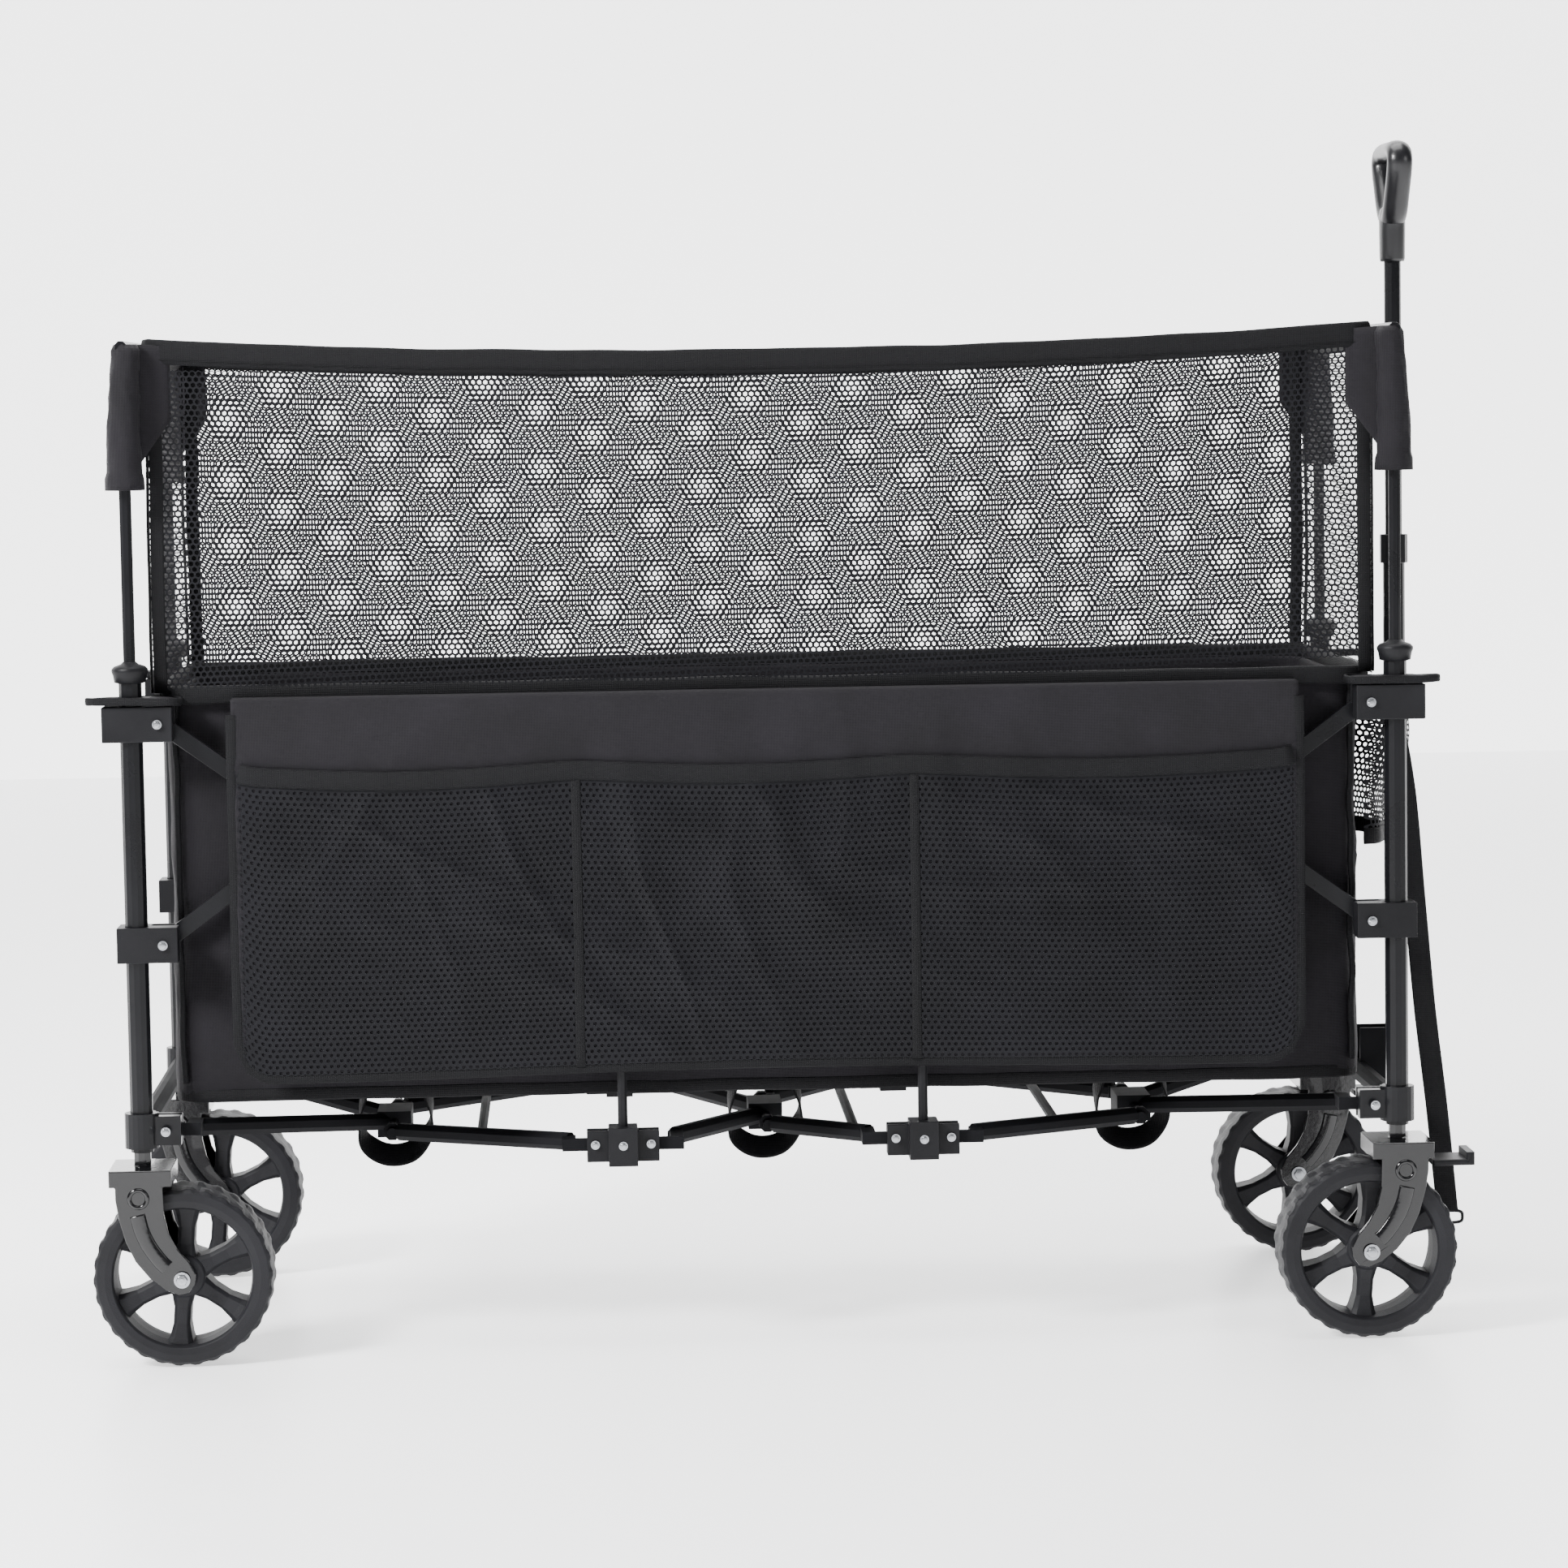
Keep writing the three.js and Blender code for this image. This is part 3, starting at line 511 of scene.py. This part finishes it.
def pen():
    corners = [(MID_X + sx * PEN_X, sy * PEN_Y) for sx, sy in ((-1, -1), (1, -1), (1, 1), (-1, 1))]
    names = ("near", "front", "far", "rear")
    walls = []
    for i, name in enumerate(names):
        a, b = corners[i], corners[(i + 1) % 4]
        width = math.dist(a, b)
        wall = net(f"pen_net_{name}", wall_point(a, b, 0.004), width, PEN_TOP - PEN_BOTTOM,
                   lean=0.035 if name in ("near", "rear") else 0.012)
        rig.sheet(wall, (width, PEN_TOP - PEN_BOTTOM), "stretched", rests_on=["rim_band", "tub_rim_binding"],
                 area=width * (PEN_TOP - PEN_BOTTOM) * net_share(NET_CELL, NET_RIBBON))
        walls.append(wall)
    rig.replaces(walls[0], "pen_mesh")
    loop = [p for p, _ in round_rect(PEN_X, PEN_Y, 0.016, 260)]
    top = [Vector((MID_X + p.x, p.y, rim_z(MID_X + p.x, p.y) - 0.002 + 0.0012 * noise.noise(p * 14)))
           for p in loop]
    sweep("rim_band", top, flat_profile(0.024, 0.0052, 14), RIBBON, "canvas", closed=True)
    seam = [v - Vector((0, 0, 0.0075)) for v in top]
    sweep("rim_stitching", seam, [(0.0033 * math.cos(t), 0.0007 * math.sin(t)) for t in
                                  (math.pi / 3 * k for k in range(6))], RIBBON, "canvas", closed=True)
    base = [Vector((MID_X + p.x, p.y, RIM_Z + 0.004 + 0.0015 * noise.noise(p * 11))) for p, _ in
            round_rect(PEN_X - 0.004, PEN_Y - 0.003, 0.02, 240)]
    sweep("tub_rim_binding", base, flat_profile(0.018, 0.007, 12), RIBBON, "canvas", closed=True)
    for i, (x, y) in enumerate(corners):
        sx, sy = math.copysign(1, x - MID_X), math.copysign(1, y)
        for kind, dx, dy in (("long", -0.009, 0.0), ("end", 0.0, -0.009)):
            line = [Vector((x + sx * dx, y + sy * dy, PEN_TOP - 0.004 - (PEN_TOP - PEN_BOTTOM - 0.008) * k / 30))
                    for k in range(31)]
            line = [p + Vector((0.0018 * noise.noise(p * 12), 0.001 * noise.noise(p * 17), 0)) for p in line]
            up = (0, 1, 0) if kind == "long" else (1, 0, 0)
            sweep(f"net_edge_{kind}_{i}", line, turned(flat_profile(0.013, 0.0026)), RIBBON, "canvas", up=up)


def sleeve(end, side, name):
    """The cloth tube that holds the pen's corner on its pole, with a turned hem and puckers."""
    lo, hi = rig.box(f"pen_hoop_{end}")
    x = (lo[0] + hi[0]) / 2
    y = side * (hi[1] - 0.0108)
    top, length, around = PEN_TOP + 0.004, 0.138, 28
    verts = []
    for r in range(26):
        t = r / 25
        radius = 0.0125 + 0.0035 * t + (0.0016 if t > 0.90 else 0) - (0.003 if r == 0 else 0)
        for k in range(around):
            a = 2 * math.pi * k / around
            pucker = 0.0016 * noise.noise(Vector((math.cos(a) * 2.5, math.sin(a) * 2.5, t * 9 + x + y)))
            reach = radius + pucker
            inward = Vector((-math.copysign(1, x) * 0.006, -side * 0.006, 0)) * max(0, 0.6 - t)
            verts.append(Vector((x + reach * math.cos(a), y + reach * math.sin(a), top - length * t)) + inward)
    obj = piece(f"sleeve_{end}_{name}", verts, grid_faces(26, around, closed=True), CANVAS, "canvas")
    thicken(obj, 0.0018)
    gusset = []
    for r in range(12):
        for c in range(8):
            u, v = c / 7, r / 11
            gx = x - math.copysign(1, x) * (0.010 + 0.034 * u)
            gy = y - side * (0.008 + 0.010 * u)
            gusset.append((gx, gy, rim_z(gx, gy) + 0.004 - (0.120 - 0.05 * u) * v))
    corner = thicken(piece(f"gusset_{end}_{name}", gusset, grid_faces(12, 8), CANVAS, "canvas"), 0.002)
    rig.sheet(corner, (0.036, 0.120), "stretched", rests_on=["rim_band"], area=0.036 * 0.095)
    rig.sheet(obj, (0.092, length), "gathered", rests_on=[f"pen_hoop_{end}"])


# ---- mat, pouch, straps -------------------------------------------------------------------
def floor_mat():
    columns, rows = 150, 50
    x0, x1, y0, y1 = mat_lo[0], mat_hi[0], mat_lo[1], mat_hi[1]
    verts = []
    for layer in (1, -1):
        for r in range(rows):
            for c in range(columns):
                u, w = c / (columns - 1), r / (rows - 1)
                edge = min(u * (x1 - x0), (1 - u) * (x1 - x0), w * (y1 - y0), (1 - w) * (y1 - y0))
                puff = min(1, edge / 0.012) ** 0.5
                lanes = abs(math.sin(math.pi * u * 4)) ** 0.35
                z = (mat_lo[2] + mat_hi[2]) / 2 + layer * 0.004 * puff * (0.45 + 0.55 * lanes if layer > 0 else 1)
                verts.append((x0 + (x1 - x0) * u, y0 + (y1 - y0) * w, z))
    n = rows * columns
    faces = grid_faces(rows, columns)
    faces = faces + [tuple(n + i for i in f[::-1]) for f in faces]
    ring = ([c for c in range(columns)] + [r * columns + columns - 1 for r in range(1, rows)]
            + [(rows - 1) * columns + c for c in range(columns - 2, -1, -1)]
            + [r * columns for r in range(rows - 2, 0, -1)])
    faces += [(a, n + a, n + b, b) for a, b in zip(ring, ring[1:] + ring[:1])]
    pad = piece("floor_pad", verts, faces, MAT, "mat_cloth")
    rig.replaces(pad, "floor_mat")
    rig.padded(pad, 0.5)


def tub_trim():
    """Piping down the tub's corners and round its bottom, and the stiff flaps over the brackets."""
    loop = [p for p, _ in round_rect(TUB_X - 0.006, TUB_Y - 0.001, 0.030, 220)]
    hem = [Vector((MID_X + p.x, p.y, FLOOR_Z + 0.0055 + 0.0015 * noise.noise(p * 13))) for p in loop]
    sweep("tub_hem", hem, flat_profile(0.013, 0.0045), RIBBON, "canvas", closed=True)
    for sx in (-1, 1):
        for sy in (-1, 1):
            line = []
            for k in range(50):
                z = RIM_Z - 0.004 - (RIM_Z - FLOOR_Z - 0.022) * k / 49
                wave = 0.0022 * noise.noise(Vector((sx * 3, sy * 5, z * 24)))
                line.append((MID_X + sx * (TUB_X - 0.014) + wave, sy * (TUB_Y - 0.002 + 0.4 * wave), z))
            sweep(f"tub_piping_{sx + 1}{sy + 1}", line, flat_profile(0.008, 0.006), RIBBON, "canvas", up=(0, 1, 0))
            corner_flap(MID_X + sx * POST_X, sx, sy)


def corner_flap(post, sx, sy):
    around, verts = 56, []
    outline = []
    for share in (0, 0.25, 0.5, 0.75, 1):
        for k in range(around):
            t = 2 * math.pi * k / around
            c, w = math.cos(t), math.sin(t)
            x = 0.041 * math.copysign(abs(c) ** 0.45, c) * (1.15 if c * sx < 0 else 1)
            y = 0.0195 * math.copysign(abs(w) ** 0.45, w)
            inner = Vector((0.0124 * c, 0.0124 * w, 0))
            at = inner.lerp(Vector((x, y, 0)), share)
            ripple = noise.noise(Vector((at.x * 30 + sx, at.y * 30 + sy, 2)))
            z = RIM_Z + 0.0035 - 0.003 * share ** 2 + 0.0022 * ripple * share
            verts.append((post + at.x, sy * 0.2285 + at.y, z))
            if share == 1:
                outline.append(verts[-1])
    flap = piece(f"corner_flap_{sx + 1}{sy + 1}", verts, grid_faces(5, around, closed=True), CANVAS, "canvas")
    thicken(flap, 0.0024)
    under = f"top_bracket_{'front' if sx > 0 else 'rear'}_{'far' if sy > 0 else 'near'}"
    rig.sheet(flap, (0.088, 0.039), "laid", rests_on=[under], area=0.0028)
    sweep(f"flap_binding_{sx + 1}{sy + 1}", outline, flat_profile(0.0075, 0.004), RIBBON, "canvas", closed=True)


def pole_cap(end, side, name):
    """A flanged plug in the post's top, round the pole."""
    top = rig.box(f"post_{end}_{name}")[1][2]
    post = MID_X + (-POST_X if end == "rear" else POST_X)
    outline = ((0.0114, -0.010), (0.0150, -0.009), (0.0162, -0.002), (0.0175, 0.001), (0.0175, 0.0035),
               (0.0150, 0.0062), (0.0085, 0.0085), (0.0064, 0.0105))
    verts = [(post + r * math.cos(t), side * POST_Y + r * math.sin(t), top + z)
             for r, z in outline for t in (2 * math.pi * k / 36 for k in range(36))]
    piece(f"pole_cap_{end}_{name}", verts, grid_faces(len(outline), 36, closed=True), PLASTIC, "bracket_plastic")


def end_pouch():
    """A net pouch with a bound mouth on the tub's front end."""
    x0 = MID_X + TUB_X - 0.001

    def place(u, v):
        belly = math.sin(math.pi * u) ** 0.5 * (0.55 + 0.45 * math.sin(math.pi * min(1, v + 0.25)))
        fold = 0.003 * noise.noise(Vector((u * 7, v * 4, 8)))
        return Vector((x0 + 0.004 + 0.056 * belly + fold, -0.180 + 0.155 * u, 0.628 - 0.145 * v - 0.010 *
                       math.sin(math.pi * u) * (1 - v)))
    pouch = net("end_pouch_net", place, 0.22, 0.15, 0.0065, 0.0014)
    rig.sheet(pouch, (0.22, 0.15), "hung", rests_on=["tub_shell"], area=0.22 * 0.15 * net_share(0.0065, 0.0014))
    rim = flat_profile(0.016, 0.003)
    sweep("end_pouch_mouth", [place(k / 40, 0) for k in range(41)], rim, RIBBON, "canvas")
    sweep("end_pouch_hem", [place(k / 40, 1) for k in range(41)], rim, RIBBON, "canvas")


def strap(name, points, width, up, thick=0.0022, body="frame", mat=RIBBON, slot="canvas"):
    """A webbing strap along a smooth line through the points."""
    return sweep(name, smooth_line(points), turned(flat_profile(width, thick)), mat, slot, body, up=up)


def smooth_line(points, closed=False):
    points = [Vector(p) for p in points]
    if closed:
        points = [points[-1]] + points + points[:2]
    path = []
    for i in range(len(points) - 1):
        p0, p1, p2, p3 = (points[max(0, i - 1)], points[i], points[i + 1], points[min(len(points) - 1, i + 2)])
        for k in range(10):
            t = k / 10
            path.append(0.5 * ((2 * p1) + (p2 - p0) * t + (2 * p0 - 5 * p1 + 4 * p2 - p3) * t * t
                               + (3 * p1 - p0 - 3 * p2 + p3) * t ** 3))
    return path[10:-10] if closed else path + [points[-1]]


def straps():
    front = MID_X + TUB_X
    line = [(front + 0.030, -0.160, 0.622), (front + 0.046, -0.162, 0.53), (front + 0.056, -0.160, 0.42),
            (front + 0.066, -0.158, 0.31), (front + 0.078, -0.156, 0.21), (front + 0.088, -0.157, 0.105)]
    closing = strap("closing_strap", line, 0.022, (0, 1, 0))
    strap("spare_strap", [(front + 0.006, 0.150, 0.610), (front + 0.026, 0.152, 0.50), (front + 0.034, 0.150, 0.38),
                          (front + 0.012, 0.150, 0.285)], 0.022, (0.3, 1, 0))
    tip = Vector((front + 0.089, -0.157, 0.100))
    loop = [tip + Vector((0.014 * math.copysign(abs(math.cos(t)) ** 0.5, math.cos(t)), 0,
                          0.006 * math.copysign(abs(math.sin(t)) ** 0.5, math.sin(t))))
            for t in (2 * math.pi * k / 32 for k in range(32))]
    slider = sweep("strap_slider", loop, [(0.0016 * math.cos(t), 0.0016 * math.sin(t)) for t in
                                          (2 * math.pi * k / 8 for k in range(8))], PLASTIC, "bracket_plastic",
                   closed=True, up=(0, 1, 0))
    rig.cord(closing, exit=line[0], length=0.52, diameter=0.022, far_end="fitting", stiffness="limp", lay="hanging",
            path=smooth_line(line), with_pieces=[slider])
    for i, node in enumerate(("floor_arms_rear_outer", "floor_arms_middle_rear", "floor_arms_front_outer")):
        lo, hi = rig.box(node)
        x = {0: hi[0] - 0.017, 1: MID_X, 2: lo[0] + 0.017}[i]
        line = [(x - 0.026, 0, 0.240), (x - 0.035, 0, 0.205), (x - 0.031, 0, 0.176), (x - 0.010, 0, 0.161),
                (x + 0.016, 0, 0.164), (x + 0.033, 0, 0.184), (x + 0.036, 0, 0.208), (x + 0.027, 0, 0.240)]
        sweep(f"lift_loop_{i}", smooth_line(line), flat_profile(0.028, 0.0028), RIBBON, "canvas", up=(0, 0.70, 0.71))


# ---- castors ------------------------------------------------------------------------------
def wheel(end, side):
    """A moulded wheel: block tread, dished rim, ribbed spokes and a stepped hub."""
    node = f"wheel_{end}_{side}"
    lo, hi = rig.box(node)
    centre = [(a + b) / 2 for a, b in zip(lo, hi)]
    radius, half = (hi[2] - lo[2]) / 2, (hi[1] - lo[1]) / 2
    mesh = bmesh.new()
    around = TREAD_BLOCKS * 4
    profile = [(0.765, -0.86), (0.785, -0.97), (0.86, -1.0), (0.945, -0.975), (0.972, -0.86), (0.980, -0.52),
               (0.982, -0.10), (0.982, 0.10), (0.980, 0.52), (0.972, 0.86), (0.945, 0.975), (0.86, 1.0),
               (0.785, 0.97), (0.765, 0.86), (0.745, 0.3), (0.745, -0.3)]
    rings = []
    for k in range(around):
        a = 2 * math.pi * k / around
        ring = []
        for i, (r, y) in enumerate(profile):
            shifted = (k + (2 if y > 0 else 0)) % 4 < 2
            lift = 0.016 if shifted and 4 <= i <= 9 and i not in (6, 7) else 0
            reach = radius * (r + lift)
            ring.append(mesh.verts.new((reach * math.cos(a), y * half, reach * math.sin(a))))
        rings.append(ring)
    for k in range(around):
        a, b = rings[k], rings[(k + 1) % around]
        for i in range(len(profile)):
            j = (i + 1) % len(profile)
            mesh.faces.new((a[i], a[j], b[j], b[i]))
    for n in range(WHEEL_SPOKES):
        turn = 2 * math.pi * (n + 0.43) / WHEEL_SPOKES
        rows = []
        for t in (0.0, 0.12, 0.35, 0.65, 0.88, 1.0):
            reach = 0.012 + (radius * 0.76 - 0.012) * t
            wide = 0.0075 + 0.0055 * abs(2 * t - 1) ** 2
            deep = half * (0.52 + 0.16 * abs(2 * t - 1) ** 2)
            rim = [(-wide, -deep * 0.8), (-wide * 0.6, -deep), (wide * 0.6, -deep), (wide, -deep * 0.8),
                   (wide, deep * 0.8), (wide * 0.6, deep), (-wide * 0.6, deep), (-wide, deep * 0.8)]
            rows.append([mesh.verts.new((reach * math.cos(turn) - w * math.sin(turn), d,
                                         reach * math.sin(turn) + w * math.cos(turn))) for w, d in rim])
        for a, b in zip(rows, rows[1:]):
            for i in range(8):
                mesh.faces.new((a[i], a[(i + 1) % 8], b[(i + 1) % 8], b[i]))
    hub = [(0.0052, -0.93), (0.010, -0.93), (0.0125, -0.90), (0.0135, -0.72), (0.019, -0.70), (0.021, -0.62),
           (0.021, 0.62), (0.019, 0.70), (0.0135, 0.72), (0.0125, 0.90), (0.010, 0.93), (0.0052, 0.93)]
    rings = [[mesh.verts.new((r * math.cos(2 * math.pi * k / 40), y * half, r * math.sin(2 * math.pi * k / 40)))
              for r, y in hub] for k in range(40)]
    for k in range(40):
        for i in range(len(hub)):
            j = (i + 1) % len(hub)
            mesh.faces.new((rings[k][i], rings[k][j], rings[(k + 1) % 40][j], rings[(k + 1) % 40][i]))
    bmesh.ops.recalc_face_normals(mesh, faces=mesh.faces)
    data = bpy.data.meshes.new(f"tyre_{end}_{side}")
    mesh.to_mesh(data)
    mesh.free()
    data.materials.append(TYRE)
    obj = bpy.data.objects.new(data.name, data)
    bpy.context.collection.objects.link(obj)
    obj.location = centre
    bevel = obj.modifiers.new("soft_edges", "BEVEL")
    bevel.width, bevel.segments, bevel.limit_method, bevel.angle_limit = 0.0007, 2, "ANGLE", math.radians(38)
    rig.slot(obj, "tyre")
    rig.ride(obj, node)
    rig.replaces(obj, node)
    half_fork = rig.box(f"fork_{end}_{side}")[1][1] - centre[1] - 0.003
    toward = 1 if end == "rear" else -1
    post = centre[0] - toward * TRAIL[end]
    for s in (-1, 1):
        rib = [(x, y, z / 1000) for x, y, z in [(post + toward * a / 1000, centre[1] + s * half_fork, b)
                                                for a, b in ((-3, 150), (1, 134), (8, 119), (18, 105), (24, 99))]]
        dent = "a" if s < 0 else "b"
        strap(f"fork_rib_{end}_{side}_{dent}", rib, 0.015, (0, 1, 0), 0.0042, f"castor_{end}_{side}",
              GLOSS, "fork_gloss")
        ring = [(post + toward * (-0.002 + 0.0085 * math.cos(t)), centre[1] + s * half_fork,
                 0.166 + 0.0085 * math.sin(t)) for t in (2 * math.pi * k / 28 for k in range(28))]
        sweep(f"fork_boss_{end}_{side}_{dent}", ring, [(0.0022 * math.cos(t), 0.0022 * math.sin(t)) for t in
              (2 * math.pi * k / 8 for k in range(8))], GLOSS, "fork_gloss", f"castor_{end}_{side}", closed=True,
              up=(0, 1, 0))
    for s in (-1, 1):
        place = (centre[0], centre[1] + s * (half_fork + 0.0028), centre[2])
        bolt(f"axle_bolt_{end}_{side}_{'a' if s < 0 else 'b'}", place, s, 0.0058, f"castor_{end}_{side}")


def bolt(name, place, side, radius, body, mat=ZINC, slot="painted_steel"):
    """A washer with a domed hexagon head, facing the side."""
    rings = [(1.35, 0.0, 24), (1.35, 0.12, 24), (1.0, 0.14, 6), (0.98, 0.55, 6), (0.80, 0.68, 24), (0.35, 0.74, 24)]
    verts, around = [], 24
    for scale, lift, sides in rings:
        for k in range(around):
            a = 2 * math.pi * k / around
            reach = radius * scale
            if sides == 6:
                wedge = (a % (math.pi / 3)) - math.pi / 6
                reach *= math.cos(math.pi / 6) / math.cos(wedge)
            verts.append((place[0] + reach * math.cos(a), place[1] + side * (lift * radius),
                          place[2] + reach * math.sin(a)))
    faces = grid_faces(len(rings), around, closed=True) + [tuple(range(5 * around, 6 * around))]
    return piece(name, verts, faces, mat, slot, body, smooth=False)


def frame_rivets():
    """Rivet heads on the outer faces of the brackets, sliders, feet and side hubs."""
    for end in ("rear", "front"):
        for side, s in (("near", -1), ("far", 1)):
            for node in (f"top_bracket_{end}_{side}", f"slider_{end}_{side}", f"post_{end}_{side}"):
                lo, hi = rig.box(node)
                inset = 0.024 if node.startswith("post") else 0.026
                post = MID_X - POST_X if end == "rear" else MID_X + POST_X
                x = post + (inset if end == "rear" else -inset)
                z = 0.227 if node.startswith("post") else (lo[2] + hi[2]) / 2
                face = (lo if s < 0 else hi)[1]
                bolt(f"rivet_{node}", (x, face + s * 0.0002, z), s, 0.0034, "frame")
            lo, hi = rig.box(f"drop_rod_{end}_{side}")
            middle = (lo[0] + hi[0]) / 2
            for i, (x, face) in enumerate(((middle - 0.027, 0.234), (middle, 0.2442), (middle + 0.027, 0.234))):
                bolt(f"rivet_hub_{end}_{side}_{i}", (x, s * face, 0.203), s, 0.0032, "frame")


# ---- CAD nodes that stay ------------------------------------------------------------------
def grip():
    """A moulded D loop on a tapered socket."""
    lo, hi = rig.box("handle_grip")
    x = (lo[0] + hi[0]) / 2
    ring = [(0.0, 1.090), (0.016, 1.097), (0.030, 1.116), (0.043, 1.137), (0.045, 1.150), (0.034, 1.1575),
            (0.0, 1.1580)]
    ring += [(-y, z) for y, z in ring[-2:0:-1]]
    line = smooth_line([(x, y, z) for y, z in ring], closed=True)
    oval = [(0.0098 * math.cos(t), 0.0128 * math.sin(t)) for t in (2 * math.pi * k / 20 for k in range(20))]
    loop = sweep("grip_loop", line, oval, GRIP, "grip_plastic", "handle_upper", closed=True, up=(1, 0, 0))
    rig.replaces(loop, "handle_grip")
    verts, around = [], 28
    for wide, deep, z in ((0.0092, 0.0092, lo[2] + 0.001), (0.0128, 0.0120, lo[2]),
                          (0.0138, 0.0128, lo[2] + 0.003), (0.0145, 0.0132, lo[2] + 0.030),
                          (0.0175, 0.0132, lo[2] + 0.044), (0.0200, 0.0120, lo[2] + 0.052),
                          (0.012, 0.008, lo[2] + 0.056)):
        for k in range(around):
            t = 2 * math.pi * k / around
            verts.append((x + deep * math.cos(t), wide * math.sin(t), z))
    piece("grip_socket", verts, grid_faces(7, around, closed=True), GRIP, "grip_plastic", "handle_upper")


def finish_cad():
    looks = {"painted_steel": STEEL, "bracket_plastic": PLASTIC, "fork_gloss": GLOSS, "tyre": TYRE,
             "grip_plastic": GRIP, "canvas": CANVAS, "netting": NET, "mat_cloth": MAT}
    slots = {s["node"]: s["material_slot"] for s in frame["record"]["subparts"]}
    widths = {"fork": 0.0022, "handle_grip": 0.0065, "top_bracket": 0.0030, "slider": 0.0030, "drop_rod": 0.0022,
              "brake": 0.0020}
    for name, obj in frame["nodes"].items():
        obj.data.materials.clear()
        dull = name.startswith(("floor_arms", "rear_crossbar", "handle_yoke"))
        obj.data.materials.append(FLOOR_STEEL if dull else looks[slots[name]])
        width = next((w for key, w in widths.items() if name.startswith(key)), 0.0008)
        weld = obj.modifiers.new("weld", "WELD")
        weld.merge_threshold = 0.00002
        bevel = obj.modifiers.new("soft_edges", "BEVEL")
        bevel.width, bevel.segments = width, 3
        bevel.limit_method, bevel.angle_limit = "ANGLE", math.radians(42)
        bevel.harden_normals = False


# ---- stage --------------------------------------------------------------------------------
def stage():
    piece_stage("floor", [(-60, -60, 0), (60, -60, 0), (60, 60, 0), (-60, 60, 0)], (0.93, 0.93, 0.94), 1.0)
    piece_stage("backdrop", [(-14, 7, 0), (14, 7, 0), (14, 7, 12), (-14, 7, 12)], (0.97, 0.97, 0.97), 2.3)
    world = bpy.data.worlds.new("studio")
    bpy.context.scene.world = world
    world.use_nodes = True
    world.node_tree.nodes["Background"].inputs["Color"].default_value = (0.94, 0.96, 1.0, 1)
    world.node_tree.nodes["Background"].inputs["Strength"].default_value = 0.13
    for name, place, size, power in (("key", (-3.0, -2.4, 3.0), 1.0, 430), ("fill", (3.6, -3.4, 2.0), 1.6, 45),
                                     ("top", (0.0, 0.3, 4.2), 3.0, 240)):
        light = bpy.data.lights.new(name, "AREA")
        light.size, light.energy = size, power
        lamp = bpy.data.objects.new(name, light)
        bpy.context.collection.objects.link(lamp)
        lamp.location = place
        lamp.rotation_euler = (Vector((0, 0, 0.5)) - Vector(place)).to_track_quat("-Z", "Y").to_euler()
    lens = bpy.data.cameras.new("camera")
    lens.lens = CAMERA_LENS
    eye = bpy.data.objects.new("camera", lens)
    bpy.context.collection.objects.link(eye)
    eye.location = CAMERA_PLACE
    turn = (Euler((0, 0, CAMERA_YAW)).to_matrix() @ Euler((math.pi / 2 + CAMERA_PITCH, 0, 0)).to_matrix()
            @ Euler((0, 0, CAMERA_ROLL)).to_matrix())
    eye.rotation_euler = turn.to_euler()
    bpy.context.scene.camera = eye


def piece_stage(name, corners, colour, glow):
    mesh = bpy.data.meshes.new(name)
    mesh.from_pydata(corners, [], [(0, 1, 2, 3)])
    mesh.materials.append(material(f"{name}_paper", colour, 0.35, 0.01, 0.02, pale=1.02, glow=glow))
    obj = bpy.data.objects.new(name, mesh)
    bpy.context.collection.objects.link(obj)
    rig.stage(obj)


finish_cad()
tub()
tub_trim()
for the_name, the_side in (("near", -1), ("far", 1)):
    panel(the_side, the_name)
    for the_end in ("rear", "front"):
        sleeve(the_end, the_side, the_name)
        pole_cap(the_end, the_side, the_name)
        wheel(the_end, the_name)
pen()
floor_mat()
end_pouch()
straps()
frame_rivets()
grip()
stage()

with open("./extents.json", "w") as out:
    json.dump({"cad": [[float(v) for v in c] for c in cad_box],
               "visual": [[float(v) for v in c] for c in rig.bounds()]}, out)
